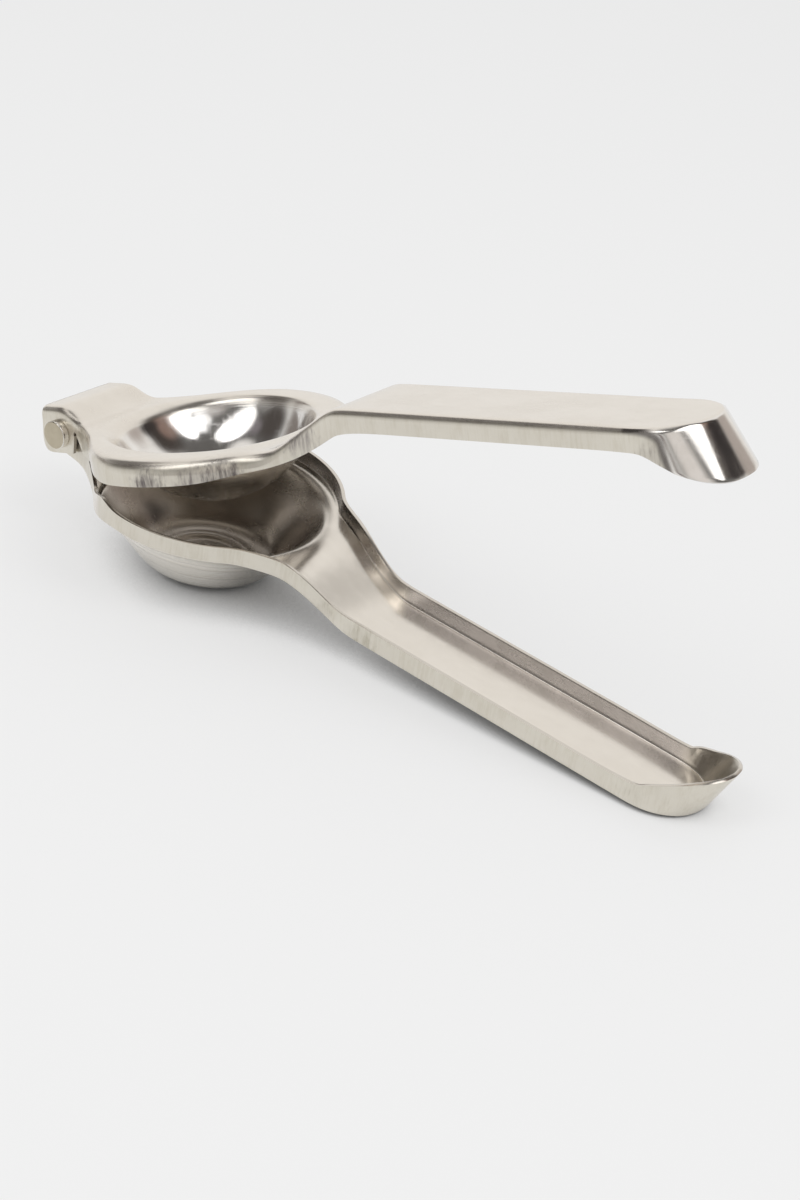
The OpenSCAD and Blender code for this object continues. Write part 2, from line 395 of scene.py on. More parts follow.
@dataclass
class PressedLever:
    """What both levers share: a round head, a neck, a channel handle and a flared end.

    Sizes are in millimetres about the hinge axis, with X along the lever, and angles in degrees.

    Attributes:
        name: The piece's name.
        body: The body that it moves with.
        slot: Its material slot; not used.
        seat: Where it lies in the frame.
        head_r: The head's outer radius.
        neck_half: Half of the width of the neck's hinge side.
        handle_half: Half of the handle's width.
        sheet: The sheet's thickness at a cut edge.
        head_x: The middle of the head.
        neck_r: The radius of the fillet between the head and the handle.
        spokes: How many vertices go around the head.
        line_spokes: How many of them, on each side, lie on a straight line across the sheet.
        neck_line: The line across the sheet that the neck grows from.
        hinge_line: The line across the sheet that the hinge side grows from.
        shoulder_drop: How far the shoulder between the head and the ears is drawn in.
        shoulder_start: The angle around the head at which the shoulder starts.
        shoulder_span: The angle that it takes.
        bend: The plain size of a bend between the sheet and a wall.
        bend_start: The size that a bend is bevelled at, before it is widened.
        mouth_start: The same, for the bend around the head's round drawing.
        edge_round: The rounding of a cut edge.
        plate_rings: Where rings lie between the round drawing and the head's outline, as shares.
        face_up: Whether the head's sheet faces up on its outer side.
        hole_r: The radius of the rivet's hole.
        disc_x: The middle of the half disc that ends the sheet.
        back_x: The line at which the sheet ends behind the hinge.
        back_lean: How far the wall there leans back.
        end_turns: The angle of each row's ends in the half disc.
        end_start: Where the walls start to turn into the flared end.
        end_lean: How far their free edge then leans ahead.
        end_draw: How far it is drawn in.
        end_lift: How far it rises.
        least_low: The least share of a wall's height below its low course.
        low_margin: How far past the bend the low course lies.
        rim_shade_range: The painted shade on a cut edge: at least, and more where it faces
        the channel.
        far_fold: The distance that stands for a point with no fold near it.
    """

    name: str
    body: str
    slot: str
    seat: Seat
    head_r: float
    neck_half: float
    handle_half: float
    sheet: float = 0.88
    head_x: float = 41.5
    neck_r: float = 44.0
    spokes: int = 48
    line_spokes: int = 4
    neck_line: float = 73.3
    hinge_line: float = 10.4
    shoulder_drop: float = 2.9
    shoulder_start: float = 98.0
    shoulder_span: float = 66.0
    bend: float = 1.5
    bend_start: float = 0.45
    mouth_start: float = 1.1
    edge_round: float = 0.3
    plate_rings: tuple[float, ...] = ()
    face_up: bool = True
    hole_r: float = 2.02
    disc_x: float = 170.8
    back_x: float = -5.0
    back_lean: float = 0.0
    end_turns: tuple[float, ...] = (72, 54, 38, 24)
    end_start: float = 156.0
    end_lean: float = 2.4
    end_draw: float = 0.05
    end_lift: float = -0.25
    least_low: float = 0.38
    low_margin: float = 0.2
    rim_shade_range: tuple[float, float] = (0.3, 0.6)
    far_fold: float = 6.0
    hinge_rows: tuple[tuple[float, float, float], ...] = ()
    neck_rows: tuple[tuple[float, float], ...] = ()
    free_edge: tuple[tuple[float, float], ...] = ()
    lip: tuple[tuple[float, float, float, float], ...] = ()

    @property
    def mouth_r(self) -> float:
        """The radius of the head's round drawing at its mouth."""
        raise NotImplementedError

    @property
    def step(self) -> float:
        """The angle from one spoke of the head to the next, in radians."""
        return math.tau / self.spokes

    @property
    def neck_x(self) -> float:
        """Where the neck's fillet runs out into the straight handle."""
        reach = (self.head_r + self.neck_r) ** 2 - (self.handle_half + self.neck_r) ** 2
        return self.head_x + math.sqrt(reach)

    def level(self, x: float) -> float:
        """Give the height of the head's sheet at a place along the lever."""
        raise NotImplementedError

    def draw_head(self, bench: Bench) -> None:
        """Draw the head's round form from its mouth."""
        raise NotImplementedError

    def shape_back(self, bench: Bench) -> None:
        """Shape what lies behind the hinge, where a lever has more there than its walls."""

    def tools(self) -> list[bpy.types.Object]:
        """Make the punches that cut the lever's holes."""
        raise NotImplementedError

    def build(self) -> bpy.types.Object:
        """Press the lever from its sheet.

        Returns:
            The finished lever in the frame.
        """
        piece = start_circle(self.name, Vector((self.head_x, 0, 0)), self.mouth_r, self.spokes)
        bench = Bench(piece)
        bench.pick_edges(lambda edge: True)
        bench.settle(self.circle_at(self.mouth_r, self.level))
        self.draw_head(bench)
        self.spread_plate(bench)
        self.grow_rows(bench, self.hinge_line, self.hinge_rows)
        self.grow_rows(bench, self.neck_line,
                       [(x, self.half_width(x), z) for x, z in self.neck_rows])
        self.round_end(bench)
        bench.pick_edges(lambda edge: edge.is_boundary
                         and not all(self.at_back(v.co) for v in edge.verts))
        bench.raise_wall(self.wall)
        self.press_bends(bench)
        self.press_mouth(bench)
        self.shape_back(bench)
        self.face_out(bench)
        bench.close()
        self.finish_sheet(piece, self.tools())
        self.seat.put(piece)
        return piece

    def at_back(self, place: Vector) -> bool:
        """Say whether a place lies on the line at which the sheet ends behind the hinge."""
        return place.x < self.back_x + NEAR

    def half_width(self, x: float) -> float:
        """Give half of the width of the neck and the handle.

        Args:
            x: A place along the lever, past the head.

        Returns:
            The half width there.
        """
        if x >= self.neck_x:
            return self.handle_half
        return self.handle_half + self.neck_r - math.sqrt(self.neck_r ** 2 - (self.neck_x - x) ** 2)

    def outline(self, place: Vector) -> Vector:
        """Put a point of the head's outer circle on the lever's outline.

        The outline is straight across the neck and across the hinge side, so that rows can grow
        from it.

        Args:
            place: A point on the circle.

        Returns:
            The point on the outline, at the sheet's level.
        """
        angle = abs(math.atan2(place.y, place.x - self.head_x))
        side = side_of(place.y)
        last = self.line_spokes * self.step
        if angle < last + TURN_HAIR:
            x, half = self.neck_line, self.half_width(self.neck_line)
            y = side * half * math.sin(angle) / math.sin(last)
        elif angle > math.pi - (last + TURN_HAIR):
            x, half = self.hinge_line, self.neck_half
            y = side * half * math.sin(angle) / math.sin(last)
        else:
            radius = self.head_r - self.shoulder_drop * self.shoulder(place)
            x = self.head_x + radius * math.cos(angle)
            y = side * radius * math.sin(angle)
        return Vector((x, y, self.level(x)))

    def shoulder(self, place: Vector) -> float:
        """Say how far into the drawn-in shoulder between the head and the ears a point lies.

        Args:
            place: A point around the head.

        Returns:
            0 outside the shoulder and 1 in its middle.
        """
        angle = abs(math.atan2(place.y, place.x - self.head_x))
        turn = (math.degrees(angle) - self.shoulder_start) / self.shoulder_span
        return math.sin(math.pi * min(1.0, max(0.0, turn)))

    def circle_at(self, radius: float, height: Callable[[float], float]) -> Shift:
        """Make the rule that puts a ring around the head.

        Args:
            radius: The ring's radius.
            height: Gives its height from its place along the lever.

        Returns:
            The rule.
        """
        def rule(place: Vector) -> Vector:
            """Put one vertex on the ring."""
            angle = math.atan2(place.y, place.x - self.head_x)
            x = self.head_x + radius * math.cos(angle)
            return Vector((x, radius * math.sin(angle), height(x)))
        return rule

    def spread_plate(self, bench: Bench) -> None:
        """Spread the sheet from the round drawing's mouth to the head's outline.

        Args:
            bench: The bench that holds the piece.
        """
        bench.pick_edges(lambda edge: edge.is_boundary)
        for share in self.plate_rings:
            radius = self.mouth_r + share * (self.head_r - self.mouth_r)
            bench.extrude(self.circle_at(radius, self.level))
        bench.extrude(self.circle_at(self.head_r, self.level))
        bench.settle(self.outline)

    def grow_rows(self, bench: Bench, start: float,
                  rows: Iterable[tuple[float, float, float]]) -> None:
        """Grow the sheet row by row from a straight line across it.

        Args:
            bench: The bench that holds the piece.
            start: The place of the line.
            rows: The place, half width and height of each row.
        """
        bench.pick_edges(lambda edge: all(abs(v.co.x - start) < HAIR for v in edge.verts))
        half = max(abs(v.co.y) for v in bench.mesh.verts if v.select)
        for x, width, z in rows:
            scale = width / half
            bench.extrude(lambda place: Vector((x, place.y * scale, z)))
            half = width

    def round_end(self, bench: Bench) -> None:
        """End the sheet in a half disc, from the selected row at the disc's middle.

        Args:
            bench: The bench that holds the piece.
        """
        half = self.handle_half
        z = self.neck_rows[-1][1]
        for turn in self.end_turns:
            reach = self.handle_half * math.sin(math.radians(turn))
            ahead = self.handle_half * math.cos(math.radians(turn))
            last = turn == self.end_turns[-1]

            def rule(place: Vector) -> Vector:
                """Put one vertex on its row, or on the arc if the row is the last."""
                y = place.y * reach / half
                x = math.sqrt(self.handle_half ** 2 - y * y) if last else ahead
                return Vector((self.disc_x + x, y, z))
            bench.extrude(rule)
            half = reach

    def wall(self, foot: Vector, ring: Ring) -> Vector:
        """Place a point of the walls around the sheet: skirt or rim, ears, handle and flared end.

        Args:
            foot: The point at the wall's foot, on the sheet's outline.
            ring: Its row in the wall.

        Returns:
            Its place.
        """
        if foot.x > self.disc_x + HAIR:
            turn = math.degrees(math.atan2(abs(foot.y), foot.x - self.disc_x))
            x, y, z = along(self.lip, turn)
        else:
            start = ease(self.end_start, self.disc_x, foot.x)
            x = foot.x + self.end_lean * start * start - self.back_lean * self.at_back(foot)
            y = abs(foot.y) - self.end_draw * start
            z = along(self.free_edge, foot.x)[0] + self.end_lift * start ** 4
        edge = Vector((x, side_of(foot.y) * y, z))
        low = max(self.least_low, (self.wall_bend(foot) + self.low_margin) / (edge - foot).length)
        share = {Ring.LOW: low, Ring.HIGH: 0.5 * (1 + low), Ring.EDGE: 1.0}[ring]
        return foot.lerp(edge, share)

    def wall_bend(self, foot: Vector) -> float:
        """Give the size of the bend at a wall's foot."""
        return self.bend * self.bend_share(foot)

    def bend_share(self, corner: Vector) -> float:
        """Say how many times the plain bend a bend is, at a place on the sheet's outline."""
        raise NotImplementedError

    def press_bends(self, bench: Bench) -> None:
        """Round the bend between the sheet and its walls."""
        bench.pick_edges(lambda edge: bench.on_ring(edge, Ring.BEND) and len(edge.link_faces) == 2)
        self.round_off(bench, self.bend_start,
                       lambda corner: self.bend * self.bend_share(corner) / self.bend_start)

    def press_mouth(self, bench: Bench) -> None:
        """Round the bend between the sheet and the head's round drawing."""
        bench.pick_edges(lambda edge: all(self.at_mouth(vertex.co) for vertex in edge.verts))
        self.round_off(bench, self.mouth_start, self.mouth_share)

    def at_mouth(self, place: Vector) -> bool:
        """Say whether a place lies on the mouth of the head's round drawing."""
        out = math.hypot(place.x - self.head_x, place.y)
        return abs(out - self.mouth_r) < ON_LINE and abs(place.z - self.level(place.x)) < ON_LINE

    def mouth_share(self, corner: Vector) -> float:
        """Say how many times its starting size the mouth's bend is, at a place on the mouth."""
        raise NotImplementedError

    def round_off(self, bench: Bench, size: float, share: Callable[[Vector], float]) -> None:
        """Bevel the selected edges, and widen the bend where a rule asks for it.

        Args:
            bench: The bench that holds the piece.
            size: The bend's starting size.
            share: Gives how much wider the bend is, from the sharp corner that it replaces.
        """
        bench.note_corners()
        bpy.ops.mesh.bevel(offset_type="OFFSET", offset=size, segments=BEND_STEPS, profile=0.5,
                           affect="EDGES")
        bench.refresh()
        for vertex in bench.mesh.verts:
            if vertex.select:
                corner = bench.corners.find(vertex.co)[0]
                vertex.co = corner + (vertex.co - corner) * share(corner)
        bmesh.update_edit_mesh(bench.piece.data)

    def face_out(self, bench: Bench) -> None:
        """Turn the faces so that the sheet thickens to its inner side.

        Args:
            bench: The bench that holds the piece.
        """
        bpy.ops.mesh.select_all(action="SELECT")
        bpy.ops.mesh.normals_make_consistent(inside=False)
        bench.refresh()
        ahead = max(bench.mesh.faces, key=lambda face: (
            face.calc_center_median().x * (abs(face.normal.z) > LEVEL_FACE)))
        if (ahead.normal.z > 0) != self.face_up:
            bpy.ops.mesh.flip_normals()
        bench.refresh()

    def finish_sheet(self, piece: bpy.types.Object, tools: list[bpy.types.Object]) -> None:
        """Smooth the sheet, give it its thickness and cut its holes.

        Args:
            piece: The lever's sheet.
            tools: Closed meshes that cut it.
        """
        apply_modifier(piece, "smooth", "SUBSURF", levels=2, render_levels=2)
        for vertex in piece.data.vertices:
            vertex.co = self.fold_in(vertex.co.copy())
        for _ in ("faces", "cut edges"):
            piece.data.materials.append(None)
        apply_modifier(piece, "thickness", "SOLIDIFY", thickness=self.sheet, offset=-1.0,
                       use_even_offset=True, use_quality_normals=True, material_offset_rim=1)
        apply_modifier(piece, "edges", "BEVEL", width=self.edge_round, segments=2,
                       limit_method="ANGLE", angle_limit=CUT_ANGLE, miter_outer="MITER_SHARP")
        for tool in tools:
            cut_with(piece, tool)
        clear_layers(piece)
        self.mark_faces(piece)
        take(piece)
        bpy.ops.object.shade_smooth_by_angle(angle=SMOOTH_ANGLE)

    def mark_faces(self, piece: bpy.types.Object) -> None:
        """Mark the painted shade of the cut rim and of the channel, the drawn walls, the polished
        drawings, the fold, the painted shade inside the cup and under the bowl and the round
        drawing, for the finish.

        Args:
            piece: The lever in its own millimetres.
        """
        # The rim mark carries the painted shade of the cut edges.
        rim = [self.rim_shade(face) for face in piece.data.polygons]
        for face in piece.data.polygons:
            face.material_index = 0
        mark(piece, "rim", "FACE", rim)
        for name, rule in (("wall", self.wall_share), ("polish", self.polish_share),
                           ("fold", self.fold_reach), ("inner", self.inner_shade_share),
                           ("round", self.round_share), ("channel", self.channel_share)):
            mark(piece, name, "POINT", [rule(spot.co, spot.normal) for spot in piece.data.vertices])

    def out_from_head(self, place: Vector) -> float:
        """Give a point's distance from the head's upright axis."""
        return math.hypot(place.x - self.head_x, place.y)

    def inward(self, place: Vector, normal: Vector) -> float:
        """Say how much a point faces in from the walls, across the channel.

        Args:
            place: The point.
            normal: The way that it faces.

        Returns:
            1 where it faces the middle line, and -1 where it faces straight away from it.
        """
        hub = min(max(place.x, self.head_x), self.disc_x)
        out = Vector((place.x - hub, place.y, 0))
        return -normal.dot(out) / max(out.length, 1.0)

    def rim_shade(self, face: bpy.types.MeshPolygon) -> float:
        """Say how much painted shade a face of the cut rim gets: most on the round towards the
        channel.

        Args:
            face: A face of the lever.

        Returns:
            A share from 0 to 1, which is 0 off the rim.
        """
        if face.material_index == 0:
            return 0.0
        # Painted shade on the cut edge, darker where it faces the channel.
        least, more = self.rim_shade_range
        return least + more * ease(0.25, 0.55, self.inward(face.center, face.normal))

    def fold_in(self, place: Vector) -> Vector:
        """Press the fold or step at the flared end into the sheet."""
        raise NotImplementedError

    def fold_reach(self, place: Vector, normal: Vector) -> float:
        """Give how far a point lies from a fold line, in millimetres."""
        return self.far_fold

    def polish_share(self, place: Vector, normal: Vector) -> float:
        """Say how much of a point's finish is mirror polish."""
        return 0.0

    def inner_shade_share(self, place: Vector, normal: Vector) -> float:
        """Say how much painted shade a point gets inside the cup and under the bowl."""
        raise NotImplementedError

    def channel_share(self, place: Vector, normal: Vector) -> float:
        """Say how much a point faces inwards from a wall, across the channel.

        Args:
            place: The point.
            normal: The way that it faces.

        Returns:
            A share from 0 to 1, less where the neck turns into the handle and in the flared end.
        """
        share = ease(0.25, 0.6, self.inward(place, normal)) * self.wall_share(place, normal)
        turn = window(self.neck_line + 11, self.neck_line + 14, 91.5, 94.5, place.x)
        end = ease(self.disc_x - 3, self.disc_x + 4, place.x)
        return share * (1 - turn) * (1 - 0.75 * end)

    def round_share(self, place: Vector, normal: Vector) -> float:
        """Say how much a point belongs to the round drawing in the head."""
        return 1 - ease(self.mouth_r - 1.8, self.mouth_r - 0.4, self.out_from_head(place))

    def wall_share(self, place: Vector, normal: Vector) -> float:
        """Say how much a point belongs to a drawn wall."""
        steep = 1 - ease(0.45, 0.85, abs(normal.z))
        return steep * ease(self.head_r - 2.6, self.head_r - 1.6, self.out_from_head(place))


@dataclass
class PressLever(PressedLever):
    """The upper lever: hinge box, plate with its press bowl and skirt, web, handle and flared end.

    Attributes:
        plate_z: The height of the plate's top at the middle of the head.
        plate_fall: How much it falls for each millimetre away from the hinge.
        bowl_r: The radius of the press bowl's mouth.
        ball_r: The radius of the ball that the bowl is pressed with.
        bowl_depth: The bowl's depth.
        ball_turns: The angle of each of the bowl's rings from its bottom.
        back_bulge: How far the box's back stands behind the line at which the sheet ends.
        fold_start: Where the fold before the flare can start.
        fold_step: How far the flare stands out past the fold.
        flare_polish: How much of the flare's finish is mirror polish.
        notch_middles: The middle of the notch, at its top and at its foot.
        notch_halves: Half of its width there.
        notch_heights: Its height there.
        relief_r: The radius of the round relief at its top.
    """

    plate_z: float = 1.65
    plate_fall: float = 0.038
    bowl_r: float = 24.7
    ball_r: float = 26.1
    bowl_depth: float = 17.6
    plate_rings: tuple[float, ...] = (0.42,)
    back_lean: float = 0.9
    back_bulge: float = 1.35
    ball_turns: tuple[float, ...] = (60, 50, 40, 30, 20, 12)
    fold_start: float = 165.0
    fold_step: float = 0.5
    flare_polish: float = 0.7
    notch_middles: tuple[float, float] = (6.05, 6.5)
    notch_halves: tuple[float, float] = (0.35, 3.1)
    notch_heights: tuple[float, float] = (0.1, -6.5)
    relief_r: float = 0.65
    hinge_rows: tuple[tuple[float, float, float], ...] = (
        (8.4, 13.6, 3.1), (5.6, 12.85, 4.6), (3.4, 12.8, 6.05), (1.2, 12.8, 6.7),
        (-1.9, 12.8, 6.7), (-5.0, 12.8, 6.7))
    neck_rows: tuple[tuple[float, float], ...] = (
        (77.0, 2.2), (82.0, 5.3), (87.2, 8.55), (90.2, 10.25), (93.0, 10.5), (100.0, 10.5),
        (112.0, 10.5), (123.0, 10.5), (134.0, 10.5), (145.0, 10.5), (154.0, 10.5), (160.0, 10.5),
        (164.5, 10.5), (168.0, 10.5), (170.8, 10.5))
    free_edge: tuple[tuple[float, float], ...] = (
        (5.0, -5.0), (8.0, -4.6), (61.0, -4.55), (65.0, -4.0), (74.6, -2.8), (80.4, -1.2),
        (85.0, 0.8), (88.4, 2.7), (91.0, 4.3), (94.0, 5.4), (96.0, 5.6), (166.0, 5.6))
    lip: tuple[tuple[float, float, float, float], ...] = (
        (0, 189.5, 0.0, -1.6), (12, 189.2, 3.6, -1.55), (24, 188.2, 6.6, -1.2),
        (38, 186.3, 8.8, -0.6), (54, 182.8, 10.9, 0.55), (72, 177.8, 12.15, 2.5),
        (90, 173.2, 12.45, 5.35))
    fold: tuple[tuple[float, float], ...] = (
        (180.4, -2.0), (179.0, 1.8), (177.9, 5.0), (177.2, 7.3), (176.8, 8.1), (175.9, 8.9),
        (174.3, 9.6), (172.4, 9.95), (169.4, 10.2))

    @property
    def mouth_r(self) -> float:
        """The radius of the press bowl's mouth."""
        return self.bowl_r

    def level(self, x: float) -> float:
        """Give the height of the plate's top, which falls a little away from the hinge."""
        return self.plate_z - self.plate_fall * (x - self.head_x)

    def draw_head(self, bench: Bench) -> None:
        """Draw the bowl ring by ring from its mouth and close its bottom with a grid.

        Args:
            bench: The bench that holds the piece.
        """
        rise = self.ball_r - self.bowl_depth
        for turn in self.ball_turns:
            angle = math.radians(turn)
            depth = rise - self.ball_r * math.cos(angle)
            bench.extrude(self.circle_at(self.ball_r * math.sin(angle),
                                         lambda x: self.level(x) + depth))
        last = self.ball_r * math.sin(math.radians(self.ball_turns[-1])) - HAIR
        bpy.ops.mesh.fill_grid(span=self.spokes // 4)
        bench.refresh()

        def drop(place: Vector) -> Vector:
            """Sink a point of the bottom's grid onto the ball."""
            out = self.out_from_head(place)
            if out > last:
                return place
            ball = math.sqrt(self.ball_r ** 2 - out * out)
            return Vector((place.x, place.y, self.level(place.x) + rise - ball))
        bench.settle(drop)

    def mouth_share(self, corner: Vector) -> float:
        """Say how many times its starting size the mouth's bend is: most towards the hinge."""
        return 1 + 1.6 * (1 - ease(18, 34, corner.x)) + 0.4 * ease(52, 64, corner.x)

    def wall(self, foot: Vector, ring: Ring) -> Vector:
        """Place a point of the walls, with the back of the hinge box bulged.

        Args:
            foot: The point above it, on the sheet's outline.
            ring: Its row in the wall.

        Returns:
            Its place.
        """
        place = super().wall(foot, ring)
        if self.at_back(foot) and ring is Ring.HIGH:
            place.x = self.back_x - self.back_bulge
        return place

    def bend_share(self, corner: Vector) -> float:
        """Say how many times the plain bend a bend is: by hinge box, head, handle and flare.

        Args:
            corner: A place on the sheet's outline.

        Returns:
            The bend there, as a share of the plain one.
        """
        box = 1 - ease(6.0, 12.0, corner.x)
        head = window(26.0, 42.0, 70.0, 84.0, corner.x)
        flare = ease(self.disc_x - 3, self.disc_x + 5, corner.x)
        return 1.15 + 0.15 * box + 0.85 * head - 0.6 * flare

    def past_fold(self, place: Vector) -> float:
        """Give the signed way from the fold line on a side wall to a point.

        Args:
            place: The point.

        Returns:
            The way in millimetres, above 0 on the flare.
        """
        best = math.inf
        for low, high in zip(self.fold, self.fold[1:]):
            start, end = Vector(low), Vector(high)
            run = end - start
            way = Vector((place.x, place.z)) - start
            share = min(1.0, max(0.0, way.dot(run) / run.length_squared))
            away = way - share * run
            if away.length < abs(best):
                best = math.copysign(away.length, run.y * way.x - run.x * way.y)
        return best

    def fold_in(self, place: Vector) -> Vector:
        """Turn the flare outwards past the fold line.

        Args:
            place: A point of the smoothed sheet.

        Returns:
            Its place with the fold pressed in.
        """
        if place.x < self.fold_start or abs(place.y) < 6.0:
            return place
        past = self.past_fold(place)
        swell = self.fold_step * window(-0.6, 1.6, 3.0, 9.0, past) * ease(6.0, 9.5, abs(place.y))
        swell *= 1 - ease(9.6, 10.4, place.z)
        return place + Vector((0, math.copysign(swell, place.y), 0))

    def fold_reach(self, place: Vector, normal: Vector) -> float:
        """Give how far a point lies from the fold before the flare.

        Args:
            place: The point.
            normal: The way that it faces.

        Returns:
            The distance in millimetres, up to the one that stands for no fold.
        """
        if place.x < self.fold_start or abs(place.y) < 8.5 or abs(normal.z) > 0.92:
            return self.far_fold
        return min(self.far_fold, abs(self.past_fold(place)))

    def polish_share(self, place: Vector, normal: Vector) -> float:
        """Say how much of a point's finish is mirror polish: the bowl and the flare.

        Args:
            place: The point.
            normal: The way that it faces.

        Returns:
            A share from 0 to 1.
        """
        out = self.out_from_head(place)
        if out < self.bowl_r:
            bowl = 1 - ease(self.bowl_r - 1.6, self.bowl_r - 0.6, out)
            return bowl * ease(-0.1, 0.1, normal.z)
        if place.x < self.fold_start:
            return 0.0
        flare = self.flare_polish * ease(0.0, 0.8, self.past_fold(place))
        return flare * (1 - ease(0.80, 0.95, normal.z))

    def inner_shade_share(self, place: Vector, normal: Vector) -> float:
        """Say how much painted shade a point gets on the underside of the press bowl."""
        bowl = 1 - ease(self.bowl_r - 1.0, self.bowl_r + 3.0, self.out_from_head(place))
        # Painted shade under the bowl.
        return 0.15 * bowl * ease(0.15, -0.15, normal.z)

    def wall_share(self, place: Vector, normal: Vector) -> float:
        """Say how much a point belongs to a drawn wall, which the polished flare isn't."""
        return super().wall_share(place, normal) * (1 - self.polish_share(place, normal))

    def rim_shade(self, face: bpy.types.MeshPolygon) -> float:
        """Say how much painted shade a cut face gets, with the notches' faces fully shaded.

        Args:
            face: A face of the lever.

        Returns:
            A share from 0 to 1.
        """
        x, y, z = face.center
        in_notch = 2.5 < x < 10.0 and -7.0 < z < 0.8 and abs(y) > 11.0
        # Painted shade: the notches' cut faces are fully dark, standing in for the shadowed gaps.
        if in_notch and abs(face.normal.y) < 0.5:
            return 1.0
        return super().rim_shade(face)

    def tools(self) -> list[bpy.types.Object]:
        """Make the punches for the rivet's hole, the notches and their reliefs."""
        across = 4 * self.head_r
        return [add_rod(self.hole_r, 3 * self.head_r, 64), self.notch_tool(across),
                add_rod(self.relief_r, across, 32, (self.notch_middles[0], 0, 0))]

    def notch_tool(self, across: float) -> bpy.types.Object:
        """Make the punch for the V-shaped notch ahead of each ear.

        Args:
            across: How far it reaches to either side.

        Returns:
            A closed wedge across the lever.
        """
        bpy.ops.object.select_all(action="DESELECT")
        bpy.ops.mesh.primitive_cube_add(size=1, location=(0, 0, 0))
        tool = bpy.context.object

        def wedge(place: Vector) -> Vector:
            """Taper the block to the notch."""
            end = 0 if place.z > 0 else 1
            x = self.notch_middles[end] + math.copysign(self.notch_halves[end], place.x)
            return Vector((x, place.y * across, self.notch_heights[end]))
        bench = Bench(tool)
        bench.pick_edges(lambda edge: True)
        bench.settle(wedge)
        bench.close()
        return tool


@dataclass
class CupLever(PressedLever):
    """The lower lever: ears, neck, rim, strainer cup, slope, handle and scooped end.

    Attributes:
        floor: The height of the floor's underside along the lever.
        cup_r: The radius of the cup's mouth.
        corner_x: How far out the middle of the cup's rounded corner lies.
        corner_z: How high it lies.
        corner_r: The corner's radius.
        cup_turns: The angle of each of the corner's rings.
        side_shares: Where rings lie on the cup's side, as shares of it.
        well_r: The drain well's radius.
        well_bottom: The height of its underside.
        hole_d: The diameter of a drain hole.
        hole_ring: The radius of the ring of drain holes.
        hole_count: How many holes that ring has.
        step_out: How far the step before the scoop stands out.
        step_up: How far it stands up.
    """

    bend: float = 1.25
    shoulder_drop: float = 2.4
    mouth_start: float = 0.35
    face_up: bool = False
    hole_r: float = 2.08
    disc_x: float = 175.5
    back_x: float = 1.2
    end_start: float = 164.0
    end_lean: float = 1.6
    end_draw: float = 0.4
    end_lift: float = 0.35
    least_low: float = 0.36
    low_margin: float = 0.15
    floor: tuple[tuple[float, float], ...] = (
        (24.0, -6.9), (36.5, -2.8), (75.6, -2.8), (93.5, -10.05))
    cup_r: float = 28.0
    corner_x: float = 12.0
    corner_z: float = -11.8
    corner_r: float = 8.0
    cup_turns: tuple[float, ...] = (55, 36, 18, 2)
    side_shares: tuple[float, ...] = (0.72, 0.36)
    well_r: float = 10.0
    well_bottom: float = -20.6
    hole_d: float = 2.4
    hole_ring: float = 4.6
    hole_count: int = 6
    step_out: float = 0.35
    step_up: float = 0.45
    hinge_rows: tuple[tuple[float, float, float], ...] = (
        (7.0, 11.6, -6.6), (4.0, 11.4, -6.3), (1.2, 11.4, -6.0))
    neck_rows: tuple[tuple[float, float], ...] = (
        (77.0, -3.2), (82.0, -5.3), (87.5, -7.7), (91.5, -9.3), (95.0, -10.0), (99.0, -10.05),
        (110.0, -10.05), (121.0, -10.05), (132.0, -10.05), (143.0, -10.05), (154.0, -10.05),
        (162.0, -10.05), (168.0, -10.05), (172.0, -10.05), (175.5, -10.05))
    free_edge: tuple[tuple[float, float], ...] = (
        (1.2, 4.4), (4.0, 3.0), (7.0, 1.2), (10.4, -1.0), (16.8, -3.9), (19.5, -4.0),
        (22.8, -2.9), (26.0, -0.8), (29.3, 1.1), (33.0, 2.0), (76.0, 2.0), (78.4, 1.3),
        (84.0, -1.3), (89.4, -4.0), (92.4, -4.8), (95.0, -4.85), (166.0, -4.85))
    lip: tuple[tuple[float, float, float, float], ...] = (
        (0, 192.8, 0.0, 2.6), (12, 192.2, 3.3, 2.45), (24, 190.6, 5.9, 1.95),
        (38, 188.4, 7.9, 1.2), (54, 185.4, 9.45, 0.0), (72, 181.3, 10.5, -1.95),
        (90, 177.0, 11.3, -4.5))

    @property
    def mouth_r(self) -> float:
        """The radius of the strainer cup's mouth."""
        return self.cup_r

    def level(self, x: float) -> float:
        """Give the height of the floor's underside."""
        return along(self.floor, x)[0]

    def draw_head(self, bench: Bench) -> None:
        """Draw the cup ring by ring from its mouth to its drain well, and close it with a grid.

        Args:
            bench: The bench that holds the piece.
        """
        rim = self.level(self.head_x)
        turns = [math.radians(turn) for turn in self.cup_turns]
        rings = [(self.corner_x + self.corner_r * math.sin(turn),
                  self.corner_z - self.corner_r * math.cos(turn)) for turn in turns]
        start, foot = (self.cup_r, rim), rings[0]
        for share in self.side_shares:
            rings.insert(0, tuple(a + share * (b - a) for a, b in zip(start, foot)))
        for radius, z in rings:
            follow = ease(foot[1], rim, z)
            bench.extrude(self.circle_at(radius, lambda x: z + follow * (self.level(x) - rim)))
        base, bottom = self.corner_z - self.corner_r, self.well_bottom
        for radius, z in ((self.well_r + 1.6, base), (self.well_r + 0.5, base - 0.05),
                          (self.well_r - 0.6, bottom + 0.05), (self.well_r - 1.6, bottom),
                          (self.hole_ring + self.hole_d, bottom)):
            bench.extrude(self.circle_at(radius, lambda x: z))
        bpy.ops.mesh.fill_grid(span=self.spokes // 4)
        bench.refresh()

    def mouth_share(self, corner: Vector) -> float:
        """Say how many times its starting size the mouth's bend is: least on the shoulder."""
        size = 1 + 1.25 * ease(22, 44, corner.x) - 0.68 * self.shoulder(corner)
        return size / self.mouth_start

    def wall_bend(self, foot: Vector) -> float:
        """Give the size of the bend at a wall's foot, for which the plain one stands."""
        return self.bend

    def bend_share(self, corner: Vector) -> float:
        """Say how many times the plain bend a bend is: less on the shoulder's narrow ledge."""
        return 1 - 0.66 * self.shoulder(corner)

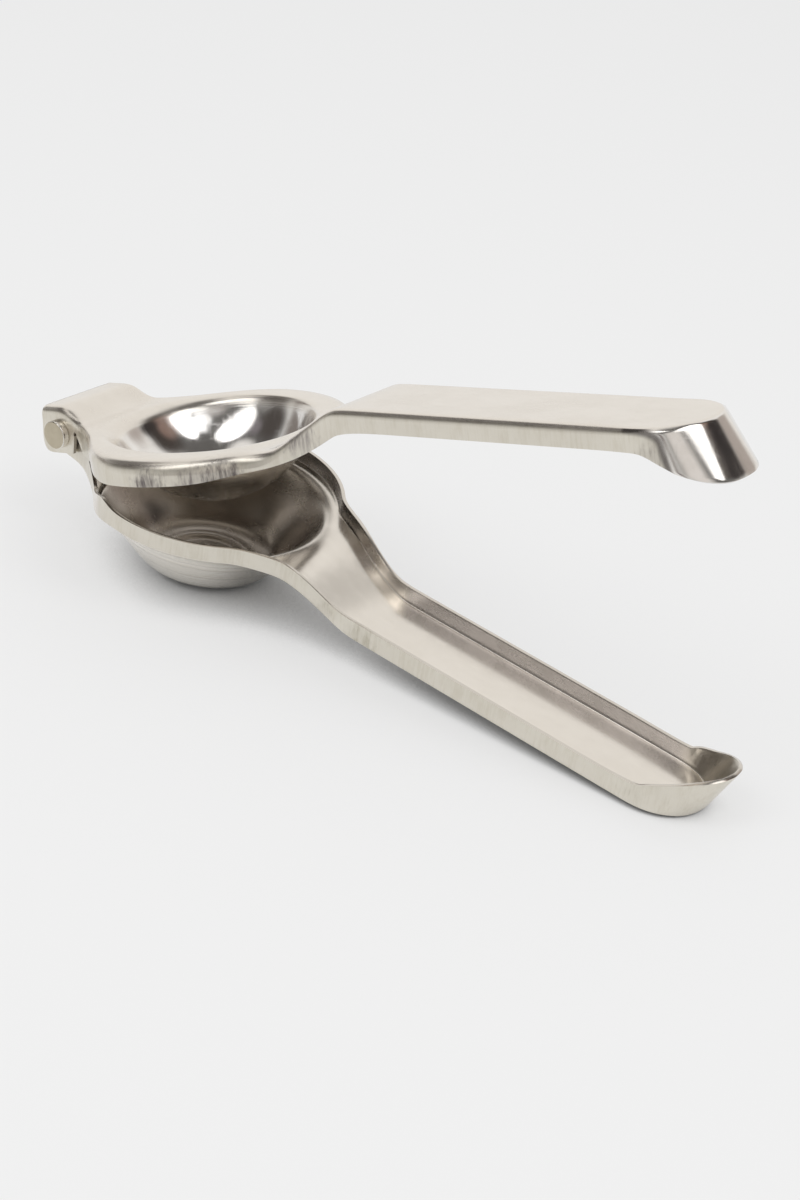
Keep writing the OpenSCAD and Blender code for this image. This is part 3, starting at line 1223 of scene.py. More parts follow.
    def shape_back(self, bench: Bench) -> None:
        """Carry each ear back past the floor and round it about the rivet.

        Args:
            bench: The bench that holds the piece.
        """
        for lean, flat in ((-1.7, 0.55), (-4.4, 1.0)):
            bench.pick_edges(lambda edge: self.is_ear_back(edge, bench))
            bench.extrude(lambda place: Vector((lean + flat * 0.16 * place.z * place.z / 4.6,
                                                place.y, place.z * (1 - 0.10 * flat))))

    def is_ear_back(self, edge: bmesh.types.BMEdge, bench: Bench) -> bool:
        """Say whether an edge is part of an ear's upright back edge.

        Args:
            edge: The edge.
            bench: The bench that holds the piece.

        Returns:
            Whether it is.
        """
        on_ear = all(abs(v.co.y) > 11.3 and v.co.z > -4.75 and self.at_back(v.co)
                     for v in edge.verts)
        if not (on_ear and edge.is_boundary):
            return False
        back = min(v.co.x for v in bench.mesh.verts)
        run = abs(edge.verts[0].co.z - edge.verts[1].co.z)
        return run > 0.5 and all(v.co.x < back + 1.1 for v in edge.verts)

    def inner_shade_share(self, place: Vector, normal: Vector) -> float:
        """Say how much painted shade a point gets on the inside of the strainer cup.

        Args:
            place: The point.
            normal: The way that it faces.

        Returns:
            A share from 0 to 1.
        """
        offset = Vector((place.x - self.head_x, place.y))
        out = offset.length
        to_axis = normal.x * offset.x + normal.y * offset.y
        inward = normal.z * 0.6 - to_axis / max(out, 1.0)
        # Painted shade inside the cup.
        return (1 - ease(self.cup_r - 1.6, self.cup_r - 0.2, out)) * ease(-0.1, 0.2, inward)

    def wall_share(self, place: Vector, normal: Vector) -> float:
        """Say how much a point belongs to a drawn wall, less on the inner faces along the slope,
        which take the faces' lighter tone as painted light.

        Args:
            place: The point.
            normal: The way that it faces.

        Returns:
            A share from 0 to 1.
        """
        inner = ease(0.0, 0.4, -normal.y * math.copysign(1.0, place.y))
        # Painted light: the inner faces along the slope take the faces' lighter tone instead of the
        # wall's.
        painted_light = window(self.neck_line + 9, self.neck_line + 13, 93.0, 96.0, place.x)
        return super().wall_share(place, normal) * (1 - inner * painted_light)

    def channel_share(self, place: Vector, normal: Vector) -> float:
        """Say how much a point lies in the channel's shade, which takes in the ears' nook."""
        nook = (1 - ease(11.0, 19.0, place.x)) * ease(-0.1, 0.3, normal.z + max(0.0, normal.x))
        return max(super().channel_share(place, normal), nook)

    def fold_in(self, place: Vector) -> Vector:
        """Press in the small step where the handle ends and the scoop starts.

        Args:
            place: A point of the smoothed sheet.

        Returns:
            Its place with the step pressed in.
        """
        if place.x < self.disc_x - 6 or abs(place.y) < 6.0:
            return place
        floor = self.neck_rows[-1][1]
        high = ease(floor + 2.0, floor + 5.2, place.z)
        step = high * ease(self.disc_x + 0.8, self.disc_x + 2.0, place.x)
        step *= 1 - ease(2.5, 8.0, place.x - self.disc_x)
        out = math.copysign(self.step_out * step, place.y)
        return place + Vector((0, out, self.step_up * step * high))

    def tools(self) -> list[bpy.types.Object]:
        """Make the punches for the rivet's hole and the drain holes."""
        return [add_rod(self.hole_r, 3 * self.head_r, 64), self.drain_tool()]

    def drain_tool(self) -> bpy.types.Object:
        """Make the punches for the drain holes, as one group.

        Returns:
            Closed cylinders over the drain well.
        """
        bpy.ops.object.select_all(action="DESELECT")
        spots = [(0.0, 0.0)]
        for k in range(self.hole_count):
            angle = math.radians(90 + k * 360 / self.hole_count)
            spots.append((self.hole_ring * math.cos(angle), self.hole_ring * math.sin(angle)))
        punches = []
        for x, y in spots:
            bpy.ops.mesh.primitive_cylinder_add(vertices=32, radius=self.hole_d / 2, depth=6,
                                                location=(self.head_x + x, y, self.well_bottom))
            punches.append(bpy.context.object)
        for punch in punches:
            punch.select_set(True)
        bpy.ops.object.join()
        bpy.ops.object.transform_apply(location=True, rotation=True, scale=True)
        return bpy.context.object


@dataclass
class Rivet:
    """The rivet through all four ears, with a flat head on each side. Sizes are in millimetres.

    Attributes:
        name: The piece's name.
        body: The body that it moves with.
        slot: Its material slot; not used.
        seat: Where it lies in the frame.
        shank_r: The shank's radius.
        head_r: A head's radius.
        head_h: A head's height.
        grip: Half of the shank's length between the heads.
        edge_round: The rounding of its edges.
        rim_inset: How far in from a head's edge its face sinks.
        face_inset: How much farther in its flat middle starts.
        face_sink: How far the face sinks.
    """

    name: str
    body: str
    slot: str
    seat: Seat
    shank_r: float = 2.0
    head_r: float = 3.55
    head_h: float = 1.9
    grip: float = 12.8
    edge_round: float = 0.28
    rim_inset: float = 0.55
    face_inset: float = 0.8
    face_sink: float = 0.02

    def build(self) -> bpy.types.Object:
        """Turn the rivet.

        Returns:
            The finished rivet in the frame.
        """
        piece = add_rod(self.shank_r, 2 * self.grip, 72)
        piece.name = self.name
        piece.data.name = self.name
        bench = Bench(piece)
        for side in (-1, 1):
            self.form_head(bench, side)
        bench.close()
        apply_modifier(piece, "edges", "BEVEL", width=self.edge_round, segments=3,
                       limit_method="ANGLE", angle_limit=math.radians(50))
        bpy.ops.object.shade_smooth_by_angle(angle=SMOOTH_ANGLE)
        clear_layers(piece)
        mark(piece, "rim", "FACE", [float(self.on_face(face)) for face in piece.data.polygons])
        self.seat.put(piece)
        return piece

    def on_face(self, face: bpy.types.MeshPolygon) -> bool:
        """Say whether a face belongs to the flat of a head."""
        outside = abs(face.center.y) > self.grip + 0.5 * self.head_h
        return outside and abs(face.normal.y) > 0.97

    def form_head(self, bench: Bench, side: int) -> None:
        """Form the head on one end of the shank.

        Args:
            bench: The bench that holds the rivet.
            side: -1 for the head on the near side, 1 for the far one.
        """
        bpy.ops.mesh.select_mode(type="FACE")
        bench.drop()
        end = max(bench.mesh.faces, key=lambda face: side * face.calc_center_median().y)
        end.select_set(True)
        bmesh.update_edit_mesh(bench.piece.data)
        middle = (0, side * self.grip, 0)
        grow = self.head_r / self.shank_r
        bpy.ops.mesh.extrude_region_move()
        bpy.ops.transform.resize(value=(grow, 1, grow), center_override=middle)
        bpy.ops.mesh.extrude_region_move(
            TRANSFORM_OT_translate={"value": (0, side * self.head_h, 0)})
        bpy.ops.mesh.inset(thickness=self.rim_inset)
        bpy.ops.transform.translate(value=(0, -side * self.face_sink, 0))
        bpy.ops.mesh.inset(thickness=self.face_inset)
        bench.refresh()


class Board:
    """Lays shader nodes in a tree and joins them."""

    def __init__(self, tree: bpy.types.NodeTree) -> None:
        """Take a tree.

        Args:
            tree: The node tree to lay nodes in.
        """
        self.tree = tree

    def node(self, kind: str, settings: dict[str, object] | None = None,
             **inputs: object) -> bpy.types.Node:
        """Add a node.

        Args:
            kind: The node's type.
            settings: Its own settings by name.
            **inputs: Values or sockets for its inputs, with spaces written as underscores.

        Returns:
            The node.
        """
        node = self.tree.nodes.new(kind)
        for key, value in (settings or {}).items():
            setattr(node, key, value)
        for key, value in inputs.items():
            self.feed(node.inputs[key.replace("_", " ")], value)
        return node

    def feed(self, socket: bpy.types.NodeSocket, value: object) -> None:
        """Give an input a value, or join it to an output.

        Args:
            socket: The input.
            value: A value, or the output to join it to.
        """
        if isinstance(value, bpy.types.NodeSocket):
            self.tree.links.new(value, socket)
        else:
            socket.default_value = value

    def maths(self, operation: str, first: object, second: object = 0.0) -> bpy.types.NodeSocket:
        """Add a sum.

        Args:
            operation: The Math node's operation.
            first: Its first value.
            second: Its second value.

        Returns:
            The result.
        """
        node = self.node("ShaderNodeMath", {"operation": operation})
        self.feed(node.inputs[0], first)
        self.feed(node.inputs[1], second)
        return node.outputs[0]

    def times(self, first: object, second: object) -> bpy.types.NodeSocket:
        """Multiply two numbers."""
        return self.maths("MULTIPLY", first, second)

    def plus(self, first: object, second: object) -> bpy.types.NodeSocket:
        """Add two numbers."""
        return self.maths("ADD", first, second)

    def less(self, first: object, second: object) -> bpy.types.NodeSocket:
        """Take the second number from the first."""
        return self.maths("SUBTRACT", first, second)

    def larger(self, first: object, second: object) -> bpy.types.NodeSocket:
        """Take the larger of two numbers."""
        return self.maths("MAXIMUM", first, second)

    def attribute(self, name: str) -> bpy.types.NodeSocket:
        """Read a number that is marked on the piece."""
        return self.node("ShaderNodeAttribute", {"attribute_name": name}).outputs["Fac"]

    def mask(self, tree: bpy.types.NodeTree, place: bpy.types.NodeSocket,
             **values: object) -> bpy.types.NodeSocket:
        """Place one of the shared groups and return its mask."""
        node = self.node("ShaderNodeGroup", {"node_tree": tree}, Place=place, **values)
        return node.outputs["Mask"]

    def blend(self, share: object, first: object, second: object) -> bpy.types.NodeSocket:
        """Add a mix of two numbers.

        Args:
            share: The share of the second.
            first: The first number.
            second: The second number.

        Returns:
            The mix.
        """
        node = self.node("ShaderNodeMix", {"data_type": "FLOAT"})
        for place, value in ((0, share), (2, first), (3, second)):
            self.feed(node.inputs[place], value)
        return node.outputs[0]

    def tint(self, share: object, first: object, second: object,
             mode: str = "MIX") -> bpy.types.NodeSocket:
        """Add a mix of two colours.

        Args:
            share: The share of the second.
            first: The first colour.
            second: The second colour.
            mode: How the two are mixed.

        Returns:
            The mix.
        """
        node = self.node("ShaderNodeMix", {"data_type": "RGBA", "blend_type": mode})
        for place, value in ((0, share), (6, first), (7, second)):
            self.feed(node.inputs[place], (*value, 1.0) if isinstance(value, tuple) else value)
        return node.outputs[2]

    def rise(self, value: object, low: float, high: float, start: float = 0.0,
             end: float = 1.0) -> bpy.types.NodeSocket:
        """Add a soft step.

        Args:
            value: What is read.
            low: Where the step starts.
            high: Where it ends.
            start: The result before it.
            end: The result after it.

        Returns:
            The result.
        """
        return self.node("ShaderNodeMapRange", {"interpolation_type": "SMOOTHSTEP"}, Value=value,
                         From_Min=low, From_Max=high, To_Min=start, To_Max=end).outputs[0]

    def noise(self, place: bpy.types.NodeSocket, stretch: tuple[float, float, float],
              detail: float = 3.0, rough: float = 0.55,
              turn: tuple[float, float, float] = (0.0, 0.0, 0.0)) -> bpy.types.NodeSocket:
        """Add a noise that is stretched along a direction.

        Args:
            place: The place in millimetres.
            stretch: Waves per millimetre along each axis.
            detail: The noise's detail.
            rough: How strong its finer waves are.
            turn: A turn of the pattern before it is stretched, in radians.

        Returns:
            A value around 0.5.
        """
        turned = self.node("ShaderNodeMapping", Vector=place, Rotation=turn).outputs[0]
        spread = self.node("ShaderNodeMapping", Vector=turned, Scale=stretch).outputs[0]
        return self.node("ShaderNodeTexNoise", Vector=spread, Scale=1.0, Detail=detail,
                         Roughness=rough).outputs[0]


class Effects:
    """Builds the shader node groups that the steels share, each of them once."""

    def __init__(self) -> None:
        """Build every group."""
        self.rolled_grain = self.group("rolled_grain", {}, self.lay_grain)
        self.draw_marks = self.group("draw_marks", {}, self.lay_marks)
        self.smudges = self.group("smudges", {}, self.lay_smudges)
        self.spun_rings = self.group("spun_rings", {}, self.lay_rings)
        self.polish_rays = self.group("polish_rays", {}, self.lay_rays)
        self.scratches = self.group("scratches", {"Spacing": 9.0, "Width": 0.02},
                                    self.lay_scratches)
        self.scuff = self.group("scuff", {"Reach": 4.0}, self.lay_scuff)

    @staticmethod
    def group(name: str, values: dict[str, float],
              lay: Callable[[Board, bpy.types.Node], bpy.types.NodeSocket]) -> bpy.types.NodeTree:
        """Make one group with a place in millimetres going in and a mask coming out.

        Args:
            name: The group's name.
            values: Its further inputs with their usual values.
            lay: Lays the nodes and returns the mask.

        Returns:
            The group.
        """
        tree = bpy.data.node_groups.new(name, "ShaderNodeTree")
        for key in ("Place", "Centre"):
            tree.interface.new_socket(key, in_out="INPUT", socket_type="NodeSocketVector")
        for key, value in values.items():
            socket = tree.interface.new_socket(key, in_out="INPUT", socket_type="NodeSocketFloat")
            socket.default_value = value
        tree.interface.new_socket("Mask", in_out="OUTPUT", socket_type="NodeSocketFloat")
        board = Board(tree)
        entry = board.node("NodeGroupInput")
        board.node("NodeGroupOutput", Mask=lay(board, entry))
        return tree

    @staticmethod
    def lay_grain(board: Board, entry: bpy.types.Node) -> bpy.types.NodeSocket:
        """Lay the fine grain that rolling leaves along the sheet.

        Args:
            board: The group's board.
            entry: The group's input node.

        Returns:
            The mask.
        """
        coarse = board.noise(entry.outputs["Place"], (0.03, 2.2, 2.2), 4.0, 0.6)
        fine = board.noise(entry.outputs["Place"], (0.12, 7.0, 7.0), 2.0)
        return board.blend(0.4, coarse, fine)

    @staticmethod
    def lay_marks(board: Board, entry: bpy.types.Node) -> bpy.types.NodeSocket:
        """Lay the upright marks that the die leaves on a drawn wall.

        Args:
            board: The group's board.
            entry: The group's input node.

        Returns:
            The mask.
        """
        fine = board.noise(entry.outputs["Place"], (1.5, 1.5, 0.16), 4.0, 0.65)
        broad = board.noise(entry.outputs["Place"], (0.22, 0.22, 0.10), 3.0, 0.6)
        return board.rise(board.blend(0.5, fine, broad), 0.44, 0.64)

    @staticmethod
    def lay_rings(board: Board, entry: bpy.types.Node) -> bpy.types.NodeSocket:
        """Lay the rings that the drawing tool leaves around an upright axis through the centre.

        Args:
            board: The group's board.
            entry: The group's input node.

        Returns:
            The mask.
        """
        out, height, _ = Effects.round_place(board, entry)
        rings = board.node("ShaderNodeCombineXYZ", X=out, Y=height, Z=0.0).outputs[0]
        return board.blend(0.4, board.noise(rings, (0.8, 0.8, 1.0), 2.0),
                           board.noise(rings, (3.6, 3.6, 1.0), 2.0))

    @staticmethod
    def lay_rays(board: Board, entry: bpy.types.Node) -> bpy.types.NodeSocket:
        """Lay the fine streaks that polishing leaves up and down a bowl around the centre.

        Args:
            board: The group's board.
            entry: The group's input node.

        Returns:
            The mask.
        """
        out, height, turn = Effects.round_place(board, entry)
        rays = board.node("ShaderNodeCombineXYZ", X=turn, Y=out, Z=height).outputs[0]
        fine = board.noise(rays, (22.0, 0.05, 0.05), 3.0, 0.6)
        return board.blend(0.45, fine, board.noise(rays, (70.0, 0.12, 0.12), 2.0, 0.6))

    @staticmethod
    def round_place(board: Board, entry: bpy.types.Node) -> tuple[bpy.types.NodeSocket, ...]:
        """Read a place as its distance from the centre's upright axis, its height and its turn.

        Args:
            board: The group's board.
            entry: The group's input node.

        Returns:
            The distance and height in millimetres and the turn in radians.
        """
        away = board.node("ShaderNodeVectorMath", {"operation": "SUBTRACT"},
                          Vector=entry.outputs["Place"])
        board.feed(away.inputs[1], entry.outputs["Centre"])
        parts = board.node("ShaderNodeSeparateXYZ", Vector=away.outputs[0]).outputs
        flat = board.node("ShaderNodeCombineXYZ", X=parts["X"], Y=parts["Y"], Z=0.0).outputs[0]
        out = board.node("ShaderNodeVectorMath", {"operation": "LENGTH"},
                         Vector=flat).outputs["Value"]
        return out, parts["Z"], board.maths("ARCTAN2", parts["Y"], parts["X"])

    @staticmethod
    def lay_smudges(board: Board, entry: bpy.types.Node) -> bpy.types.NodeSocket:
        """Lay soft smudges from handling.

        Args:
            board: The group's board.
            entry: The group's input node.

        Returns:
            The mask.
        """
        broad = board.noise(entry.outputs["Place"], (0.06, 0.09, 0.09), 2.0)
        small = board.noise(entry.outputs["Place"], (0.35, 0.5, 0.5), 3.0)
        return board.rise(board.blend(0.35, broad, small), 0.32, 0.68)

    @staticmethod
    def lay_scratches(board: Board, entry: bpy.types.Node) -> bpy.types.NodeSocket:
        """Lay thin stray scratches, broken up along their length.

        Args:
            board: The group's board.
            entry: The group's input node.

        Returns:
            The mask.
        """
        rate = board.maths("DIVIDE", 1.0, entry.outputs["Spacing"])
        scaled = board.node("ShaderNodeVectorMath", {"operation": "SCALE"},
                            Vector=entry.outputs["Place"], Scale=rate).outputs[0]
        masks = []
        for turn, stretch in ((0.5, (0.25, 1.6, 1.0)), (-0.9, (0.2, 2.1, 1.0)),
                              (1.35, (0.35, 1.3, 0.8))):
            wave = board.noise(scaled, stretch, 1.0, 0.4, (0.2, 0.1, turn))
            near = board.maths("ABSOLUTE", board.less(wave, 0.5))
            line = board.less(1.0, board.maths("DIVIDE", near, entry.outputs["Width"]))
            some = board.noise(scaled, (0.9, 0.9, 0.9), 1.0, 0.5, (turn, 0.0, turn))
            masks.append(board.times(board.larger(line, 0.0), board.rise(some, 0.56, 0.66)))
        return board.larger(masks[0], board.larger(masks[1], masks[2]))

    @staticmethod
    def lay_scuff(board: Board, entry: bpy.types.Node) -> bpy.types.NodeSocket:
        """Lay one rubbed patch with a ragged edge around a centre.

        Args:
            board: The group's board.
            entry: The group's input node.

        Returns:
            The mask.
        """
        away = board.node("ShaderNodeVectorMath", {"operation": "DISTANCE"},
                          Vector=entry.outputs["Place"])
        board.feed(away.inputs[1], entry.outputs["Centre"])
        share = board.maths("DIVIDE", away.outputs["Value"], entry.outputs["Reach"])
        ragged = board.noise(entry.outputs["Place"], (1.0, 1.0, 0.4), 4.0, 0.7)
        edge = board.plus(share, board.times(board.less(ragged, 0.5), 1.6))
        return board.rise(edge, 0.35, 1.05, 1.0, 0.0)


@dataclass(frozen=True)
class Scuff:
    """A rubbed patch: its place on the lever in millimetres, its reach, strength and colour."""

    place: tuple[float, float, float]
    reach: float
    strength: float
    tone: Tone


def start_material(name: str) -> tuple[bpy.types.Material, Board]:
    """Start a material that uses nodes.

    Args:
        name: The material's name.

    Returns:
        The material and a board for its nodes.
    """
    material = bpy.data.materials.new(name)
    material.use_nodes = True
    return material, Board(material.node_tree)


def dress(board: Board, material: bpy.types.Material, colour: bpy.types.NodeSocket,
          rough: bpy.types.NodeSocket, height: bpy.types.NodeSocket, strength: float,
          reach: float) -> None:
    """Join a metal's colour, roughness and relief to its shader.

    Args:
        board: The material's board.
        material: The material.
        colour: The colour.
        rough: The roughness.
        height: The height of the relief.
        strength: The bump's strength.
        reach: The bump's distance, in metres.
    """
    bump = board.node("ShaderNodeBump", Strength=strength, Distance=reach, Height=height)
    shader = material.node_tree.nodes["Principled BSDF"]
    shader.inputs["Metallic"].default_value = 1.0
    for name, socket in (("Base Color", colour), ("Roughness", rough),
                         ("Normal", bump.outputs[0])):
        board.feed(shader.inputs[name], socket)


@dataclass(frozen=True)
class SheetSteel:
    """Pressed stainless sheet: satin faces, drawn walls, polished drawings, rubbed patches and
    painted shade.

    Attributes:
        name: The material's name.
        face, wall, cut, inner_shade_tone, drawing, mirror, hollow: The colours of the sheet's
        faces, of a drawn wall, the painted shade on a cut edge, the painted shade inside the cup
        and under the bowl, the round drawing, whose own tone is made lighter as painted light,
        mirror polish and the channel's shade.
        ring_tone, foot_shade_tone, hand_tone, streak_tone, crease_shade_tone: The colours that
            rings, the painted shade at the drawing's foot, smudges, upright marks and the painted
            shade along a fold line give.
        ring_share, foot_shade_share, streak_share, crease_shade_share: How strongly they do.
        hand_shares: How strongly smudges do, on satin and on polish.
        foot_shade_heights: Between which heights the painted shade at the drawing's foot starts,
            in millimetres.
        head_x: The middle of the head, in millimetres.
        hushed, satin, drawn, polished: The roughness of the channel and of the painted shade inside
        the cup and under the bowl, of satin faces, drawn walls and mirror polish.
        scuffs: Its rubbed patches.
    """

    name: str
    face: Tone = (0.83, 0.785, 0.725)
    wall: Tone = (0.77, 0.73, 0.645)
    cut: Tone = (0.38, 0.35, 0.31)
    inner_shade_tone: Tone = (0.48, 0.435, 0.39)
    drawing: Tone = (0.93, 0.89, 0.82)
    mirror: Tone = (0.88, 0.86, 0.84)
    hollow: Tone = (0.45, 0.425, 0.41)
    ring_tone: Tone = (0.76, 0.73, 0.65)
    foot_shade_tone: Tone = (0.36, 0.34, 0.31)
    hand_tone: Tone = (0.70, 0.66, 0.60)
    streak_tone: Tone = (0.66, 0.62, 0.52)
    crease_shade_tone: Tone = (0.14, 0.125, 0.12)
    ring_share: float = 0.35
    foot_shade_share: float = 0.6
    streak_share: float = 0.24
    crease_shade_share: float = 0.85
    hand_shares: tuple[float, float] = (0.10, 0.30)
    foot_shade_heights: tuple[float, float] = (-19.0, -20.4)
    head_x: float = 41.5
    hushed: float = 0.26
    satin: float = 0.24
    drawn: float = 0.32
    polished: float = 0.12
    scuffs: tuple[Scuff, ...] = ()

    def make(self, effects: Effects, seat: Seat) -> bpy.types.Material:
        """Make the finish for a lever.

        Args:
            effects: The shared node groups.
            seat: Where the lever lies, so that patterns follow it.

        Returns:
            The material.
        """
        material, board = start_material(self.name)
        place = seat.place(board)
        masks = self.read_masks(board, effects, place)
        colour = self.lay_colour(board, masks, place)
        colour = self.lay_wear(board, effects, masks, place, colour)
        dress(board, material, colour, self.lay_roughness(board, masks),
              self.lay_relief(board, masks), strength=0.35, reach=0.00003)
        return material

    def read_masks(self, board: Board, effects: Effects, place: bpy.types.NodeSocket) -> Masks:
        """Read the lever's marks, and lay the shared patterns over them.

        Args:
            board: The material's board.
            effects: The shared node groups.
            place: The place on the lever in millimetres.

        Returns:
            The masks by name.
        """
        masks = {name: board.attribute(name)
                 for name in ("wall", "polish", "rim", "fold", "inner", "round", "channel")}
        for name, tree in (("grain", effects.rolled_grain), ("marks", effects.draw_marks),
                           ("smudge", effects.smudges)):
            masks[name] = board.mask(tree, place)
        middle = (self.head_x, 0.0, 0.0)
        rings = board.rise(board.mask(effects.spun_rings, place, Centre=middle), 0.36, 0.64)
        masks["rings"] = board.times(rings, masks["round"])
        rays = board.times(board.mask(effects.polish_rays, place, Centre=middle), masks["polish"])
        masks["rays"] = board.less(rays, board.times(masks["polish"], 0.5))
        masks["scratch"] = board.times(board.mask(effects.scratches, place),
                                       board.blend(masks["polish"], 0.12, 1.0))
        open_wall = board.less(masks["wall"], board.times(masks["channel"], 0.8))
        masks["streak"] = board.times(masks["marks"], open_wall)
        return masks

    def lay_colour(self, board: Board, masks: Masks, place: bpy.types.NodeSocket
                   ) -> bpy.types.NodeSocket:
        """Lay the colours of the sheet's parts, with painted shade in the channel, on the cut
        edges, at the drawing's foot and inside the cup and under the bowl, and the rings, the
        smudges and the upright marks.

        Args:
            board: The material's board.
            masks: The masks by name.
            place: The place on the lever in millimetres.

        Returns:
            The colour.
        """
        colour = board.tint(masks["wall"], self.face, self.wall)
        # Painted shade in the channel and on the cut edges; the round drawing's own tone, made
        # lighter as painted light.
        for name, tone in (("channel", self.hollow), ("rim", self.cut), ("round", self.drawing)):
            colour = board.tint(masks[name], colour, tone)
        rings = board.times(masks["rings"], self.ring_share)
        colour = board.tint(rings, colour, self.ring_tone, "MULTIPLY")
        # Painted shade at the drawing's foot, darker towards the floor.
        height = board.node("ShaderNodeSeparateXYZ", Vector=place).outputs["Z"]
        foot = board.times(board.rise(height, *self.foot_shade_heights), masks["round"])
        colour = board.tint(board.times(foot, self.foot_shade_share), colour, self.foot_shade_tone)
        colour = board.tint(masks["polish"], colour, self.mirror)
        # Painted shade inside the cup and under the bowl.
        colour = board.tint(masks["inner"], colour, self.inner_shade_tone)
        hand = board.times(masks["smudge"], board.blend(masks["polish"], *self.hand_shares))
        colour = board.tint(hand, colour, self.hand_tone, "MULTIPLY")
        streak = board.times(masks["streak"], self.streak_share)
        return board.tint(streak, colour, self.streak_tone, "MULTIPLY")

    def lay_wear(self, board: Board, effects: Effects, masks: Masks,
                 place: bpy.types.NodeSocket, colour: bpy.types.NodeSocket
                 ) -> bpy.types.NodeSocket:
        """Lay the rubbed patches and the painted shade along the fold line over the colour, and add
        a mask for the wear.

        Args:
            board: The material's board.
            effects: The shared node groups.
            masks: The masks by name, which take in the wear.
            place: The place on the lever in millimetres.
            colour: The colour below.

        Returns:
            The colour.
        """
        worn: object = 0.0
        for scuff in self.scuffs:
            spot = board.mask(effects.scuff, place, Centre=scuff.place, Reach=scuff.reach)
            spot = board.times(spot, board.blend(0.75, 1.0, masks["marks"]))
            spot = board.times(spot, scuff.strength)
            colour = board.tint(spot, colour, scuff.tone)
            worn = board.larger(worn, spot)
        masks["worn"] = worn
        # Painted shade along the fold line before the flare.
        crease_shade = board.rise(masks["fold"], 0.2, 1.3, 1.0, 0.0)
        return board.tint(board.times(crease_shade, self.crease_shade_share), colour, self.crease_shade_tone)

    def lay_roughness(self, board: Board, masks: Masks) -> bpy.types.NodeSocket:
        """Lay the roughness of the sheet's parts, with a small shift by what lies on them.

        Args:
            board: The material's board.
            masks: The masks by name.

        Returns:
            The roughness.
        """
        rough = board.blend(board.larger(masks["wall"], masks["rim"]), self.satin, self.drawn)
        rough = board.blend(board.larger(masks["channel"], masks["inner"]), rough, self.hushed)
        rough = board.blend(masks["polish"], rough, self.polished)
        rough = board.plus(rough, board.times(masks["rays"], 0.22))
        shift = board.times(board.less(masks["smudge"], 0.5), 0.06)
        shift = board.plus(shift, board.times(board.less(masks["grain"], 0.5), 0.10))
        shift = board.plus(shift, board.times(masks["scratch"], 0.12))
        return board.plus(rough, board.plus(shift, board.times(masks["worn"], 0.12)))

    def lay_relief(self, board: Board, masks: Masks) -> bpy.types.NodeSocket:
        """Lay the fine relief of the sheet.

        Args:
            board: The material's board.
            masks: The masks by name.

        Returns:
            The height for a bump.
        """
        smooth = board.larger(masks["polish"], masks["round"])
        relief = board.times(masks["grain"], board.blend(smooth, 0.35, 0.03))
        banded = board.blend(board.larger(masks["polish"], masks["inner"]), 5.0, 0.08)
        relief = board.plus(relief, board.times(masks["rings"], banded))
        for name, share in (("rays", 1.1), ("streak", 0.7), ("scratch", -0.35), ("worn", -0.6)):
            relief = board.plus(relief, board.times(masks[name], share))
        return relief


@dataclass(frozen=True)
class RivetSteel:
    """Turned rivet steel: a dull flat face and a brighter rolled side.

    Attributes:
        name: The material's name.
        face, side: The colours of a head's flat face and of its side.
        hand_tone, hand_share: The colour that smudges give, and how strongly they do.
        turned, dull: The roughness of the side and of the face.
    """

    name: str
    face: Tone = (0.62, 0.56, 0.44)
    side: Tone = (0.86, 0.83, 0.78)
    hand_tone: Tone = (0.55, 0.50, 0.42)
    hand_share: float = 0.35
    turned: float = 0.24
    dull: float = 0.48

    def make(self, effects: Effects, seat: Seat) -> bpy.types.Material:
        """Make the finish.

        Args:
            effects: The shared node groups.
            seat: Where the rivet lies.

        Returns:
            The material.
        """
        material, board = start_material(self.name)
        place = seat.place(board)
        face = board.attribute("rim")
        smudge = board.mask(effects.smudges, place)
        scratch = board.mask(effects.scratches, place, Spacing=2.5, Width=0.03)
        colour = board.tint(face, self.side, self.face)
        hand = board.times(smudge, self.hand_share)
        colour = board.tint(hand, colour, self.hand_tone, "MULTIPLY")
        rough = board.plus(board.blend(face, self.turned, self.dull), board.times(scratch, 0.1))
        dress(board, material, colour, rough, board.less(smudge, scratch),
              strength=0.3, reach=0.00004)
        return material


@dataclass(frozen=True)
class Zone:
    """A soft patch of the room that the metal mirrors, by direction in degrees."""

    azimuth: float
    elevation: float
    reach: float
    blur: float
    tone: Tone


@dataclass(frozen=True)
class Softbox:
    """An oval lamp that looks at the part from a direction in degrees."""

    name: str
    azimuth: float
    elevation: float
    width: float
    height: float
    level: float
    distance: float = 1.0


def towards(azimuth: float, elevation: float) -> Vector:
    """Give a direction in the room.

    Args:
        azimuth: Its angle around, in degrees.
        elevation: Its angle up, in degrees.

    Returns:
        A vector of length 1.
    """
    turn, rise = math.radians(azimuth), math.radians(elevation)
    flat = math.cos(rise)
    return Vector((flat * math.cos(turn), flat * math.sin(turn), math.sin(rise)))


